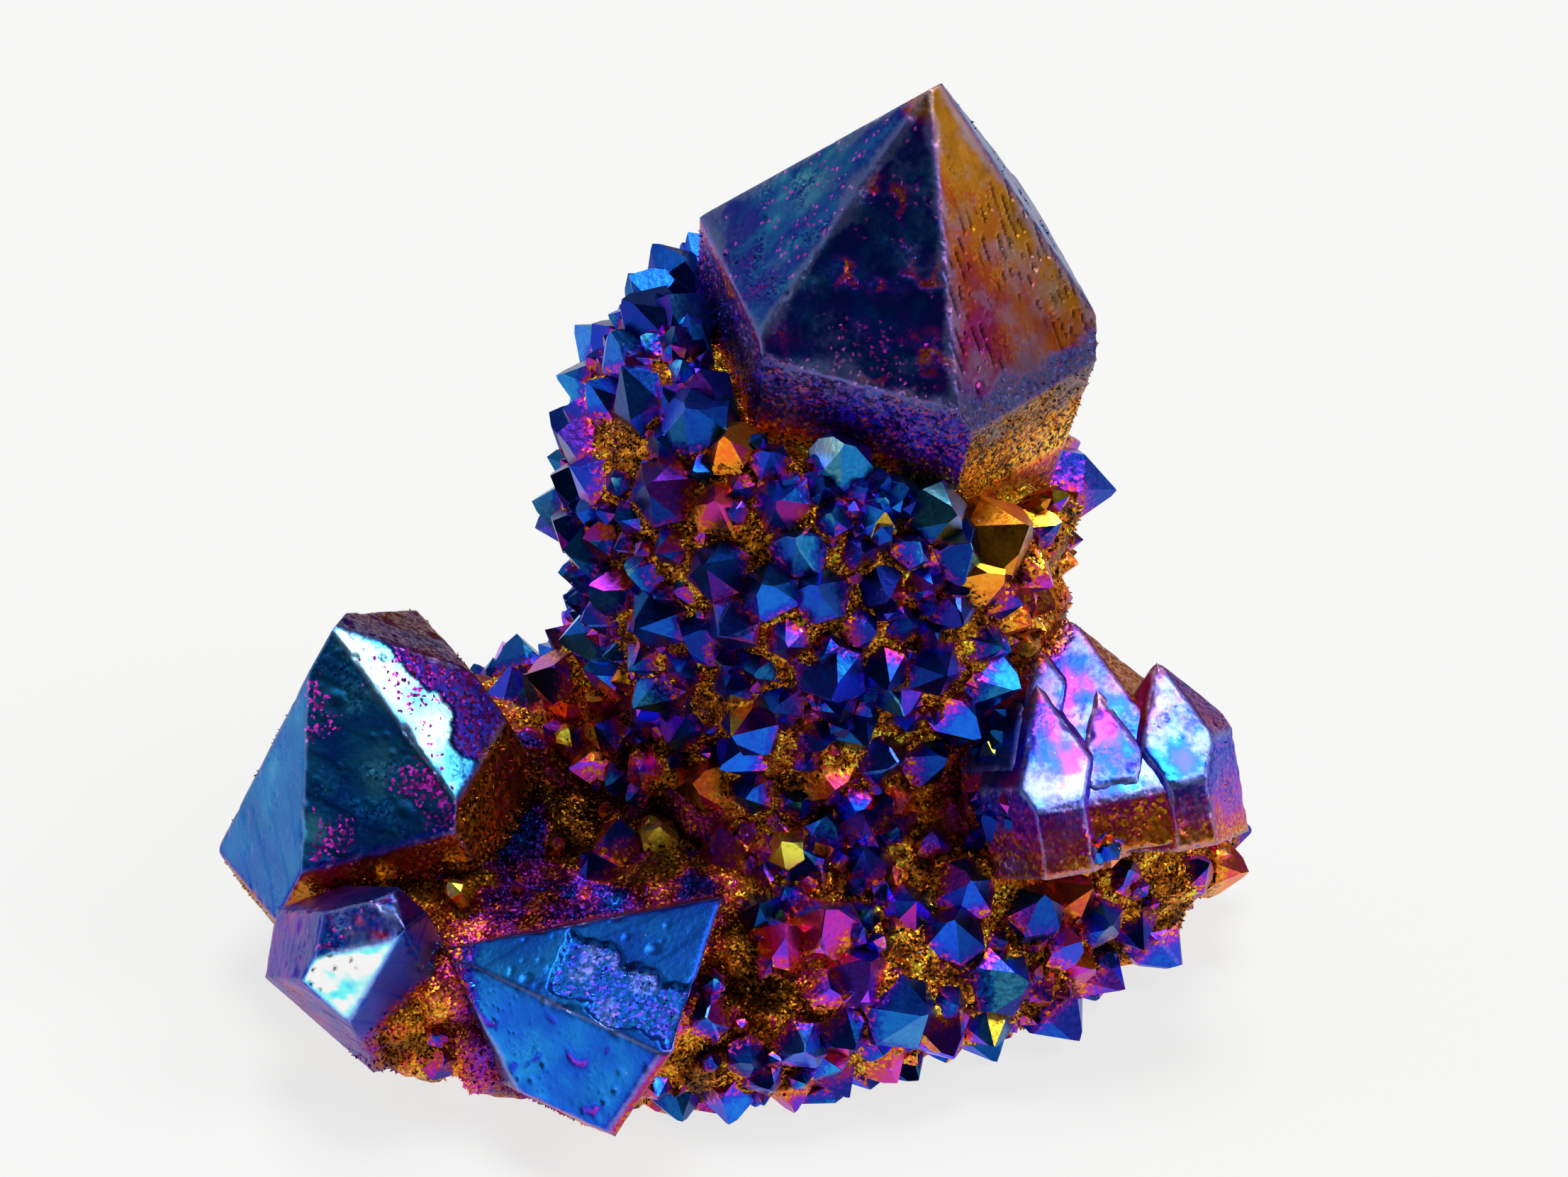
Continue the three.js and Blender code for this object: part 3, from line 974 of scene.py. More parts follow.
@dataclass(frozen=True)
class LargeCrystal:
    """One large crystal: its tip, its turn, and how far each face lies from the tip."""

    name: str
    tip: tuple[float, float, float]
    lean: float
    toward: float
    spin: float
    pyramid: tuple[float, ...]
    prism: tuple[float, ...]
    length: float
    taper: float = 0.0  # degrees by which its sides widen towards the root
    shown: float = 14.0  # mm under the tip from which it is grown over
    fineness: float = 0.24  # longest edge of a triangle that shows
    looks: dict[int, FaceLook] = field(default_factory=dict)
    sides: FaceLook = FaceLook(0.5, 0.3, grit=0.6, striae=0.06, pit=0.16)
    other: FaceLook = FaceLook()
    band: tuple[float, float] = (0.0, 0.0)  # mm under the tip where a sugary band starts and ends
    band_film: tuple[float, float] = (0.55, 0.24)  # the film where the band starts and ends
    warm_planes: tuple[int, ...] = ()  # planes on which the band is golden throughout
    warm_film: float = 0.19
    rounding: float = 0.24  # mm that an edge is rounded over
    chip: float = 0.12  # depth of the nicks in the edges
    tip_film: float = 0.2
    tip_share: float = 0.0  # how much of the film at the very tip is tip_film
    tip_reach: float = 1.5  # mm from the tip where that ends
    frost_width: float = 0.3  # mm that an edge is frosted over
    apron: float = 0.8  # mm round it where no small crystal is rooted
    seed: int = 1

    @cached_property
    def turn(self) -> Array:
        """The matrix from the crystal's own frame to the part's."""
        return upright_to(direction(self.lean, self.toward)) @ about(UP, self.spin)

    @cached_property
    def planes(self) -> tuple[Array, Array]:
        """Normals and distances of its faces: the root, then pyramid and side in turn.

        Returns:
            The normals, and their distances from the tip.
        """
        normals, distances = [-UP], [self.length]
        for side in range(SIDES):
            normals.append(direction(PYRAMID_TILT, side * SIDE_STEP))
            normals.append(direction(90 + self.taper, side * SIDE_STEP))
            distances += [self.pyramid[side], self.prism[side]]
        return np.array(normals), np.array(distances, float)

    def cut_planes(self) -> tuple[Array, Array]:
        """Its planes and the ground cut under them.

        Returns:
            The normals, and their distances from the tip.
        """
        normals, distances = self.planes
        ground = self.turn.T @ -UP
        return np.vstack([normals, ground]), np.append(distances, self.tip[2] - GROUND)

    def clearance(self, points: Array) -> Array:
        """How far outside the crystal each point lies, negative inside it.

        Args:
            points: Places in the part's frame.

        Returns:
            Millimetres, one for each point.
        """
        local = (points - np.array(self.tip)) @ self.turn
        normals, distances = self.planes
        return (local @ normals.T - distances).max(axis=-1)

    def look(self, plane: int) -> FaceLook:
        """The look of one of its planes.

        Args:
            plane: The number of the plane.

        Returns:
            The look.
        """
        if plane in (0, 2 * SIDES + 1):
            return self.sides
        side, kind = divmod(plane - 1, 2)
        return self.looks.get(side, self.other) if kind == 0 else self.sides

    def skin(self) -> tuple[Array, Array]:
        """Its flat faces cut into small triangles, finer where they show.

        Returns:
            Points in the crystal's own frame, and triangles.
        """
        form = meet(*self.cut_planes())
        points = [form.corners]
        triangles = []
        for loop in form.loops:
            centre = len(form.corners) + len(points) - 1
            points.append(form.corners[loop].mean(axis=0)[None])
            triangles += [[centre, start, end] for start, end in zip(loop, loop[1:] + loop[:1])]

        def longest(places: Array) -> Array:
            """The longest edge allowed at each place.

            Args:
                places: Places in the crystal's own frame.

            Returns:
                Millimetres, one for each place.
            """
            buried = smoothstep(0, 2, -places[:, 2] - self.shown)
            banded = self.banded(places)
            return self.fineness * (1 + 6 * buried) * (1 - 0.3 * banded)

        return refine(np.vstack(points), np.array(triangles), longest)

    def banded(self, local: Array) -> Array:
        """How much of the sugary band lies at each place, 0 to 1.

        Args:
            local: Places in the crystal's own frame.

        Returns:
            One value for each place.
        """
        start, end = self.band
        if end <= start:
            return np.zeros(len(local))
        edge = start + 0.5 * noise(local, 1.6, self.seed + Pattern.BAND, 3)
        ended = smoothstep(0, 1.5, -local[:, 2] - end)
        return smoothstep(0, 0.7, -local[:, 2] - edge) * (1 - ended)

    def ledges(self, local: Array, normal: Array, look: FaceLook, seed: int) -> Array:
        """Depth of growth layers that overlap like shingles along the face.

        Args:
            local: Places in the crystal's own frame.
            normal: The face's normal.
            look: The face's look.
            seed: Picks the pattern.

        Returns:
            Millimetres, one for each place.
        """
        level_way = unit(np.cross(UP, normal)) if abs(normal[2]) < 0.99 else np.array([1.0, 0, 0])
        slant = 0.9 if seed % 2 else -0.9
        travel = local @ unit(np.cross(level_way, normal) + slant * level_way)
        level = travel + 0.5 * noise(local, 3.1, seed + Pattern.LEDGES, 2)
        level = level / look.ledge_every
        share = level - np.floor(level)
        patches = smoothstep(-0.2, 0.4, noise(local, 5.0, seed + Pattern.LEDGE_PATCHES))
        return look.ledge * (0.35 + 0.65 * patches) * (share - smoothstep(0.9, 1.0, share))

    def pits(self, local: Array, look: FaceLook, seed: int) -> Array:
        """Depth of etch pits of several sizes, strewn in patches.

        Args:
            local: Places in the crystal's own frame.
            look: The face's look.
            seed: Picks the pattern.

        Returns:
            Millimetres, one for each place.
        """
        depth = np.zeros(len(local))
        for share in (1.0, 0.45):
            gap, label = grains(local, look.pit_every * share, seed + int(9 * share))
            width = 0.12 + 0.22 * label
            hollow = np.clip(1 - (gap / width) ** 2, 0, 1)
            depth = np.maximum(depth, share * look.pit * hollow * (label > 0.45))
        return depth * smoothstep(-0.3, 0.4, noise(local, 4.0, seed + 5))

    def rows(self, local: Array, normal: Array, seed: int) -> Array:
        """How deep broken rows of etch pits lie, 0 to 1, running down a face.

        Args:
            local: Places in the crystal's own frame.
            normal: The face's normal.
            seed: Picks the pattern.

        Returns:
            One value for each place.
        """
        across = unit(np.cross(UP, normal))
        side, fall = local @ across, local @ np.cross(across, normal)
        lane = np.cos(2 * np.pi * side / 0.62 + 1.4 * noise(local, 2.4, seed))
        broken = noise(np.stack([side * 1.6, fall, 0 * fall], axis=-1), 0.5, seed + 1)
        patch = smoothstep(-0.1, 0.35, noise(local, 3.8, seed + 2) + 0.15)
        return smoothstep(0.15, 0.8, lane) * smoothstep(-0.15, 0.25, broken) * patch

    def streaks(self, local: Array, normal: Array, seed: int) -> Array:
        """Fine streaks from -1 to 1 that run down a face.

        Args:
            local: Places in the crystal's own frame.
            normal: The face's normal.
            seed: Picks the pattern.

        Returns:
            One value for each place.
        """
        across = unit(np.cross(UP, normal))
        fall = local @ np.cross(across, normal)
        drawn_out = np.stack([local @ across, 0.12 * fall, 0 * fall], axis=-1)
        return noise(drawn_out, 0.9, seed, 3) * (0.6 + 0.6 * noise(local, 3.0, seed + 1))

    def face(self, plane: int, places: Array, gaps: Array, banded: Array) -> dict[str, Array]:
        """How one face shapes and colours the places near it.

        Args:
            plane: The number of its plane.
            places: Places in the crystal's own frame.
            gaps: Distance of each place from each plane, negative inside.
            banded: How much of the sugary band lies at each place.

        Returns:
            The depth in millimetres, and numbers for the finish, by name.
        """
        look = self.look(plane)
        normal = self.cut_planes()[0][plane]
        seed = self.seed * 31 + plane * 7
        sunk_from_tip = 1 - np.clip(1 + places[:, 2] / self.length, 0, 1)
        depth = self.ledges(places, normal, look, seed)
        depth += self.pits(places, look, seed + Pattern.PITS)
        film = look.film_tip + (look.film_root - look.film_tip) * sunk_from_tip
        film = film + look.across * (places @ unit(np.cross(UP, normal) + 1e-9)) / HALF_WIDTH
        film = film + look.mottle * noise(places, look.mottle_mm, seed + Pattern.MOTTLE, 3)
        tone = look.tone * (1 + 0.12 * noise(places, 2.6, seed + Pattern.TONE, 2))
        tone = tone * (1 - look.shade * sunk_from_tip)
        rough = look.grit + look.speckle * noise(places, 1.7, seed + Pattern.ROUGH, 2)
        rough = np.clip(rough, 0, 1)
        fleck = frost = np.zeros(len(places))
        if look.striae:
            lines = noise(places * ALONG_STRIAE, look.striae_every, seed + Pattern.STRIAE, 2)
            depth += look.striae * (0.5 + 0.5 * lines)
        if look.etched:
            eaten = self.rows(places, normal, seed + Pattern.ROWS) * (1 - banded)
            depth += look.etched * eaten
            # Painted shade: the rows of pits are painted darker, as shade lying in them.
            tone = tone * (1 - 0.85 * eaten)
        if look.streak:
            film = film + look.streak * self.streaks(places, normal, seed + Pattern.STREAKS)
        if look.figure:
            winding = np.abs(noise(places, 2.8, seed + Pattern.FIGURE, 3))
            patches = noise(places, 1.7, seed + Pattern.FIGURE_PATCHES, 2)
            line = (1 - smoothstep(0.02, 0.22, winding)) * smoothstep(0.0, 0.4, patches + 0.05)
            film = film - look.figure * line
            depth += 0.05 * line
            rough = np.clip(rough + 0.5 * line, 0, 1)
        if look.fleck:
            strewn = 0.1 + 1.1 * noise(places, 3.0, seed + Pattern.FLECKS, 2)
            fleck = look.fleck * np.clip(strewn, 0, 1)
        if look.frost:
            frost = look.frost * (0.6 + 0.6 * noise(places, 1.9, seed + Pattern.FROST, 3))
        if look.recess is not None:
            recess = look.recess
            sunk = recess.share(places, gaps, seed + Pattern.RECESS)
            depth = depth * (1 - 0.7 * sunk) + recess.depth * sunk
            film = film + (recess.film - film) * sunk
            tone = tone + (recess.tone - tone) * sunk
            rough = rough + (recess.grit - rough) * sunk
            patches = noise(places, 1.4, seed + Pattern.RECESS_FROST, 2)
            frost = frost + sunk * recess.frost * smoothstep(-0.35, 0.5, patches)
        return dict(depth=depth, film=film, tone=tone, grit=rough, fleck=fleck, frost=frost)

    def lay_band(self, local: Array, weight: Array, banded: Array, made: dict[str, Array]) -> None:
        """Gives the sugary band its own film, with painted light lower down, and frost above.

        Args:
            local: Places in the crystal's own frame.
            weight: Share of each plane in each place.
            banded: How much of the band lies at each place.
            made: Numbers of the places, which this changes.
        """
        start, end = self.band
        drop = smoothstep(0.45, 1.0, (-local[:, 2] - start) / max(end - start, 1))
        own = self.band_film[0] + (self.band_film[1] - self.band_film[0]) * drop
        for plane in self.warm_planes:
            own = own + (self.warm_film - own) * smoothstep(0.2, 0.8, weight[:, plane])
        made["film"] += (own - made["film"]) * banded
        # Painted light: the band's lower part faces down into shade, so it is painted up to three
        # times brighter; the rest a little darker.
        made["tone"] *= (1 - 0.2 * banded) * (1 + 2.2 * banded * drop)
        patches = 0.6 + 0.6 * noise(local, 1.6, self.seed + Pattern.BAND_FROST, 3)
        made["frost"] += 0.75 * banded * (1 - drop) * patches

    def wear_down(self, local: Array, gaps: Array, rough: Array, made: dict[str, Array]) -> None:
        """Rounds, chips and frosts the edges, and thins the film at the tip.

        Args:
            local: Places in the crystal's own frame.
            gaps: Distance of each place from each plane, negative inside.
            rough: How sugary each place is.
            made: Numbers of the places, which this changes.
        """
        edge = -np.sort(gaps, axis=1)[:, -2] / math.sin(math.radians(EDGE_ANGLE))
        from_tip = np.linalg.norm(local, axis=1)
        round_by = self.rounding * (1 + 0.5 * noise(local, 1.1, self.seed + Pattern.ROUNDING))
        nick = smoothstep(0.15, 0.9, noise(local, 0.9, self.seed + Pattern.NICKS, 2))
        reach = 0.5 + 0.6 * smoothstep(2.6, 0.6, from_tip)
        chipped = self.chip * nick * np.clip(1 - edge / reach, 0, 1)
        made["depth"] += round_by / 4 * np.clip(1 - edge / round_by, 0, 1) ** 2 + chipped
        frost = self.frost_width * (1 + noise(local, 2.5, self.seed + Pattern.WORN_EDGES, 2))
        wear = np.clip(1 - edge / np.maximum(frost, 0.12), 0, 1) + chipped / (self.chip * 3)
        made["frost"] += wear * (1 - 0.6 * rough)
        tipped = smoothstep(self.tip_reach, 0.4 * self.tip_reach, from_tip)
        made["film"] += (self.tip_film - made["film"]) * tipped * self.tip_share

    def build(self, rise_of: Rise) -> tuple[Array, Array, dict[str, Array]]:
        """Builds the weathered skin.

        Args:
            rise_of: Gives how far above the crust each place lies.

        Returns:
            Points in the part's frame, triangles, and named numbers for the points.
        """
        local, triangles = self.skin()
        normals, distances = self.cut_planes()
        gaps = local @ normals.T - distances
        weight = np.exp((gaps - gaps.max(axis=1, keepdims=True)) / BLEND)
        weight /= weight.sum(axis=1, keepdims=True)
        rise = rise_of(local @ self.turn.T + np.array(self.tip))
        banded = self.banded(local)
        names = ("depth", "film", "tone", "grit", "fleck", "frost")
        made = {name: np.zeros(len(local)) for name in names}
        for plane in range(len(normals)):
            mine = weight[:, plane] > FAINT
            if mine.any():
                face = self.face(plane, local[mine], gaps[mine], banded[mine])
                for name, values in face.items():
                    made[name][mine] += weight[mine, plane] * values
        rough = np.maximum(banded, 1 - smoothstep(0.2, 1.5, rise))
        grit = np.clip(np.maximum(made["grit"], rough), 0, 1)
        gap, label = grains(local, SUGAR_MM, self.seed + Pattern.SUGAR)
        sugar = 0.09 * np.clip(gap, 0, 1) ** 1.5 + 0.05 * label
        made["depth"] += sugar * grit * (0.35 + 0.65 * rough)
        self.lay_band(local, weight, banded, made)
        self.wear_down(local, gaps, rough, made)
        moved = local - unit(weight @ normals) * made["depth"][:, None]
        world = moved @ self.turn.T + np.array(self.tip)
        world[:, 2] = np.maximum(world[:, 2], GROUND)
        spread = (rise < GRAINS_UP_TO) + 0.6 * smoothstep(0.5, 0.95, grit * 0.9)
        spread = np.clip(spread, 0, 1) * (-moved[:, 2] < self.shown + 1)
        numbers = {
            "film": made["film"],
            "rise": np.clip(rise, 0, 9),
            "grit": grit * 0.9,
            "wear": np.clip(made["frost"], 0, 1),
            "tone": made["tone"],
            "fleck": made["fleck"] * (rise > 0.8),
            "spread": spread * (world[:, 2] > GRAINS_FROM),
        }
        return world, triangles, numbers


GOLD_FACE = FaceLook(
    0.19, 0.57, 1.5, ledge=0.03, pit_every=1.1, speckle=0.4,
    across=-0.14, etched=0.1, streak=0.04, shade=1.2, frost=0.9,
)
DARK_FACE = FaceLook(
    0.67, 0.6, 0.95, ledge=0.03, ledge_every=3.2, pit=0.12,
    mottle=0.15, mottle_mm=1.5, speckle=0.9, figure=0.28, fleck=0.16, frost=0.6,
)
BLUE_FACE = FaceLook(
    0.75, 0.7, 0.55, pit=0.16, pit_every=0.8, speckle=1.2,
    mottle=0.11, streak=0.14, fleck=0.05, frost=0.5,
)
CYAN_FACE = FaceLook(0.98, 0.84, 1.1, ledge=0.03, pit=0.07, pit_every=0.8, frost=0.5)
# Painted highlight: a pale cyan face painted three times as bright, as if it mirrored a softbox.
PAINTED_FLASH_FACE = replace(
    CYAN_FACE, film_tip=1.0, film_root=1.0, tone=3.0, pit=0.3, mottle=0.15, mottle_mm=1.3, frost=0.7
)
AZURE_FACE = FaceLook(0.79, 0.75, 1.0, ledge=0.02, pit=0.12, pit_every=1.0, mottle=0.04)
VIOLET_FACE = FaceLook(0.52, 0.34, 0.75, grit=0.45, pit=0.16, mottle=0.08)
# Painted highlight in part: lilac and pink faces are painted brighter than their film, as if they
# mirrored a light.
LILAC_FACE = FaceLook(
    0.5, 0.78, 1.5, ledge=0.02, mottle=0.09, mottle_mm=1.4, streak=0.12, speckle=0.5, frost=0.85
)
PINK_FACE = replace(LILAC_FACE, film_tip=0.43, film_root=0.6, tone=1.3, frost=0.75)
BROWN_FACE = FaceLook(0.33, 0.18, 0.9, grit=0.55, pit=0.2, ledge=0.06)
GRANULAR_SIDE = FaceLook(0.4, 0.2, 0.8, grit=0.8, striae=0.06, pit=0.16, mottle=0.08)

CAP = LargeCrystal(
    name="capping_crystal",
    tip=(8.3, 3.3, 55.1),
    lean=10.4,
    toward=-23.6,
    spin=-101.4,
    taper=5,
    pyramid=(0, 0.4, 1.3, 1.2, 0, -0.1),
    prism=(11.5, 13.1, 12.6, 11, 10.6, 10.5),
    length=26,
    shown=20.5,
    fineness=0.285,
    looks={0: DARK_FACE, 1: GOLD_FACE, 2: BLUE_FACE, 3: VIOLET_FACE, 4: AZURE_FACE, 5: BLUE_FACE},
    sides=FaceLook(0.5, 0.3, grit=0.7, striae=0.06, pit=0.16),
    band=(12.7, 20.0),
    frost_width=0.75,
    chip=0.15,
    tip_share=0.9,
    tip_reach=2.2,
    warm_planes=(4, 6),
    apron=1.7,
    seed=3,
)
LEFT = LargeCrystal(
    name="left_crystal",
    tip=(-25.7, -6.3, 24.8),
    lean=23,
    toward=-150.8,
    spin=-90.2,
    pyramid=(0, 0.1, 0.4, 1.2, -0.1, 0.9),
    prism=(8.2, 7.3, 5.7, 8, 10.5, 12),
    length=16.5,
    shown=14.5,
    looks={
        0: FaceLook(0.83, 0.77, 0.9, ledge=0.03, speckle=0.6, mottle=0.1, fleck=0.75),
        1: replace(
            CYAN_FACE, fleck=0.2, recess=Recess(0.14, 0.55, ((1, 2.1),), ragged=0.8, tone=0.7)
        ),
        2: FaceLook(0.5, 0.3, 0.4, grit=0.5, pit=0.16, mottle=0.08),
        3: BROWN_FACE,
        4: BLUE_FACE,
        5: FaceLook(0.8, 0.77, 1.0, striae=0.03, ledge=0.03, mottle=0.04),
    },
    sides=GRANULAR_SIDE,
    apron=2.0,
    seed=5,
)
FRONT = LargeCrystal(
    name="front_crystal",
    tip=(-19.4, -17.4, 9.8),
    lean=60.3,
    toward=175,
    spin=-85.6,
    pyramid=(0, 0.2, 0.3, 0.6, 0.2, -0.3),
    prism=(9.3, 10.3, 10, 7.5, 5.5, 5.1),
    length=12.4,
    shown=11.5,
    fineness=0.22,
    looks={
        0: replace(AZURE_FACE, film_root=0.72, tone=2.0, mottle=0.06, figure=0.22),
        1: FaceLook(
            0.75, 0.72, 0.62, ledge=0.04, ledge_every=3.1, mottle=0.04,
            recess=Recess(0.3, 0.73, ((1, 0.5),), ((1, 3.3),), 5.7, ragged=0.45, frost=0.62),
        ),
        2: VIOLET_FACE,
        3: BLUE_FACE,
        4: AZURE_FACE,
        5: BLUE_FACE,
    },
    sides=FaceLook(0.5, 0.34, grit=0.4, striae=0.06, pit=0.12),
    apron=1.8,
    seed=7,
)
CORNER = LargeCrystal(
    name="corner_crystal",
    tip=(-21.1, -21.9, 14.8),
    lean=57.1,
    toward=-61.1,
    spin=-58,
    pyramid=(0, 0.2, 0.4, 0.5, 0, 0.1),
    prism=(9, 7.2, 2.6, 2.2, 3.4, 4.7),
    length=12.3,
    shown=11.5,
    fineness=0.22,
    looks={
        0: FaceLook(0.68, 0.5, 0.9, speckle=0.4),
        1: BLUE_FACE,
        2: VIOLET_FACE,
        3: DARK_FACE,
        4: DARK_FACE,
        5: PAINTED_FLASH_FACE,
    },
    sides=FaceLook(0.62, 0.52, 0.75, grit=0.25, striae=0.02, pit=0.12, mottle=0.1),
    seed=9,
)
RIGHT = LargeCrystal(
    name="right_crystal",
    tip=(17.1, -0.6, 22.5),
    lean=32.6,
    toward=107.3,
    spin=-82.2,
    pyramid=(0.1, 0, -0.6, 0.5, 1, 1.2),
    prism=(8.6, 7.6, 4.4, 6, 6, 8),
    length=14,
    shown=12.5,
    looks={0: LILAC_FACE, 1: BROWN_FACE, 2: BLUE_FACE, 3: VIOLET_FACE, 4: BLUE_FACE, 5: LILAC_FACE},
    sides=FaceLook(1.0, 0.22, 1.2, grit=0.6, striae=0.08, pit=0.14, mottle=0.08),
    seed=13,
)


def sliver(
    name: str, place: tuple[float, float], raised: float, prism: tuple[float, ...], seed: int
) -> LargeCrystal:
    """A crystal that grew side by side with the right one, with the same lean and spin.

    Args:
        name: Its name.
        place: Where its tip stands on the front face: millimetres to the right, and down the slope.
        raised: How far its front face stands over that of the right crystal.
        prism: Distance of each of its sides from its axis.
        seed: Seed of its weathering.

    Returns:
        The crystal.
    """
    normals, distances = RIGHT.planes
    right = unit(np.cross(UP, normals[1]))
    slope = np.cross(right, normals[1])
    local = normals[1] * (distances[1] + raised) + right * place[0] + slope * place[1]
    tip = RIGHT.turn @ local + np.array(RIGHT.tip)
    length = PYRAMID_RISE * prism[0] + 4
    return LargeCrystal(
        name=name,
        tip=(float(tip[0]), float(tip[1]), float(tip[2])),
        lean=RIGHT.lean,
        toward=RIGHT.toward,
        spin=RIGHT.spin,
        pyramid=(0.0, 0.1, 0.2, 0.2, 0.1, 0.0),
        prism=prism,
        length=length,
        shown=length - 1,
        fineness=0.26,
        looks={0: LILAC_FACE, 1: VIOLET_FACE, 5: PINK_FACE},
        sides=replace(RIGHT.sides, film_root=0.3, tone=1.3, frost=0.6),
        rounding=0.3,
        frost_width=0.3,
        chip=0.1,
        tip_film=0.36,
        tip_share=0.8,
        seed=seed,
    )


SLIVERS = (
    sliver("right_sliver_a", (-2.3, 2.5), 0.3, (3.2, 2.0, 2.5, 2.5, 2.5, 2.5), 15),
    sliver("right_sliver_b", (-2.9, 5.6), 0.55, (5.3, 3.6, 3.5, 3.5, 3.5, 4.2), 16),
    sliver("right_sliver_c", (4.3, 5.2), 0.45, (5.3, 3.7, 3.0, 3.5, 3.5, 3.6), 17),
    sliver("right_sliver_d", (0.5, 6.4), 0.2, (4.0, 3.0, 3.0, 3.0, 3.0, 3.4), 18),
)
LARGE = (CAP, LEFT, FRONT, CORNER, RIGHT)


# ---- Granular skin between the crystals -----------------------------------------------------
def lumps(place: Array, seed: int) -> Array:
    """Hollows and lumps of the granular quartz, about -1 to 1."""
    return noise(place, 2.2, seed + 9, 2)


@dataclass
class GranularSkin:
    """The sugary quartz that the small crystals stand in, a little under the net's surface."""

    name: str
    crust: Crust
    around: int
    up: int
    climb: float = 0.75
    lumps: float = 0.3
    grain: float = 0.14
    grain_mm: float = 0.55
    cap_trench: float = 2.8  # how much lower it lies round the capping crystal
    fillet: float = 0.7  # how far it climbs the other large crystals

    def creep(self, place: Array) -> tuple[Array, Array]:
        """How the grains climb the feet of the small crystals.

        Args:
            place: Places on the net's surface.

        Returns:
            How far they climb at each place in millimetres, and how far the nearest crystal's
            axis is in widths of that crystal.
        """
        sites = [site for row in self.crust.sites() for site in row]
        feet = np.array([site.point for site in sites])
        widths = np.array([site.apothem for site in sites])
        climbs = np.array([0.25 + self.climb * site.apothem * max(site.prism, 0) for site in sites])
        lift, nearest = np.zeros(place.shape[:-1]), np.zeros(place.shape[:-1])
        for row, points in enumerate(place):
            reach = np.linalg.norm(points[:, None] - feet[None], axis=-1) / widths
            lift[row] = (climbs * (1 - smoothstep(0.95, 1.6, reach))).max(axis=1)
            nearest[row] = reach.min(axis=1)
        return lift, nearest

    def numbers(self, places: Array, bare: Array) -> dict[str, Array]:
        """Numbers for the finish, and how thickly grains are strewn.

        Args:
            places: The skin's points.
            bare: How bare of crystals each point is, 0 to 1.

        Returns:
            One number for each point, by name.
        """
        beside = np.minimum.reduce([crystal.clearance(places) for crystal in LARGE])
        by_front = 1 - smoothstep(0.3, 3.2, FRONT.clearance(places))
        collar = 1 - smoothstep(0.2, 3.0, CAP.clearance(places))
        apron = (1 - smoothstep(0.2, 3.0, beside)) * (1 - 0.7 * collar)
        empty = sparse(places, 1.5)
        label = grains(places, 0.7, Pattern.SKIN_GRAINS)[1]
        purple = smoothstep(-0.2, 0.4, noise(places, 3.0, Pattern.SKIN_PURPLE, 2))
        stain = smoothstep(0.08, 0.32, noise(places, 2.4, Pattern.SKIN_STAIN, 3)) * empty
        film = 0.11 + 0.08 * label + (0.08 + 0.14 * purple) * apron + 0.26 * stain
        film += 0.15 * by_front
        raised = smoothstep(-0.5, 0.5, lumps(places, self.crust.seed))
        # Painted shade: the hollows between the lumps are darker than the lumps, the more so over
        # the bare parts; the grains' own tone differs at random.
        tone = (1.6 + 1.8 * label) * (0.25 + 0.95 * raised ** (1 + 1.5 * empty))
        # Painted light on the lower crust, which lies in the shade of what stands above it; painted
        # shade round the feet of the large crystals.
        tone *= (1 + 0.3 * smoothstep(30, 18, places[:, 2])) * (1 - 0.5 * apron)
        # Painted shade over the bare parts, and painted light on the collar round the capping
        # crystal, where its shadow falls; a little lighter beside the front crystal.
        tone *= (1 - 0.68 * empty) * (1 + 1.6 * collar) * (1 + 0.2 * by_front)
        # Painted shade low down beside the front crystal.
        tone *= 1 - 0.6 * by_front * smoothstep(9, 5, places[:, 2])
        cut = places[:, 2] < GROUND + CUT_UNDER
        film[cut], tone[cut] = 0.13, 0.9
        whole = np.ones(len(places))
        spread = bare * (beside > -0.4) * (places[:, 2] > GRAINS_FROM)
        return {"film": film, "tone": tone, "rise": whole, "grit": whole, "spread": spread}

    def build(self) -> tuple[Array, list[list[int]], dict[str, Array]]:
        """Builds the closed skin.

        Returns:
            Points, loops, closed over the top and flat under the ground cut, and named numbers
            for the points.
        """
        azimuth, share = np.meshgrid(
            np.arange(self.around) * 360 / self.around, np.linspace(0, 1, self.up)
        )
        place = self.crust.at(azimuth, share)
        outward = self.crust.outward(azimuth, np.clip(share, 0.03, 0.97))
        gap, label = grains(place, self.grain_mm, self.crust.seed)
        depth = -self.lumps * lumps(place, self.crust.seed) * (1 + 1.2 * sparse(place))
        depth += self.grain * (gap**1.5 + label - 0.5)
        climbed, nearest = self.creep(place)
        depth -= climbed
        round_cap = 1 - smoothstep(0.4, 3.4, CAP.clearance(place))
        depth += self.cap_trench * round_cap * smoothstep(27, 31, place[..., 2])
        for crystal in (LEFT, FRONT, CORNER, RIGHT):
            depth -= self.fillet * (1 - smoothstep(0.2, 2.2, crystal.clearance(place)))
        place = place - outward * depth[..., None]
        place[..., 2] = np.maximum(place[..., 2], GROUND)
        points = np.vstack([place.reshape(-1, 3), place[0].mean(axis=0), place[-1].mean(axis=0)])
        here = np.arange(self.around * self.up).reshape(self.up, self.around)
        beside = np.roll(here, -1, axis=1)
        quads = [here[:-1], beside[:-1], beside[1:], here[1:]]
        loops = np.stack(quads, axis=-1).reshape(-1, 4).tolist()
        for start, end, last in zip(here[0].tolist(), beside[0].tolist(), here[-1].tolist()):
            loops.append([len(points) - 2, end, start])
            loops.append([len(points) - 1, last, last - start + end])
        bare = smoothstep(0.55, 0.9, np.append(nearest.reshape(-1), (1, 1)))
        return points, loops, self.numbers(points, bare)


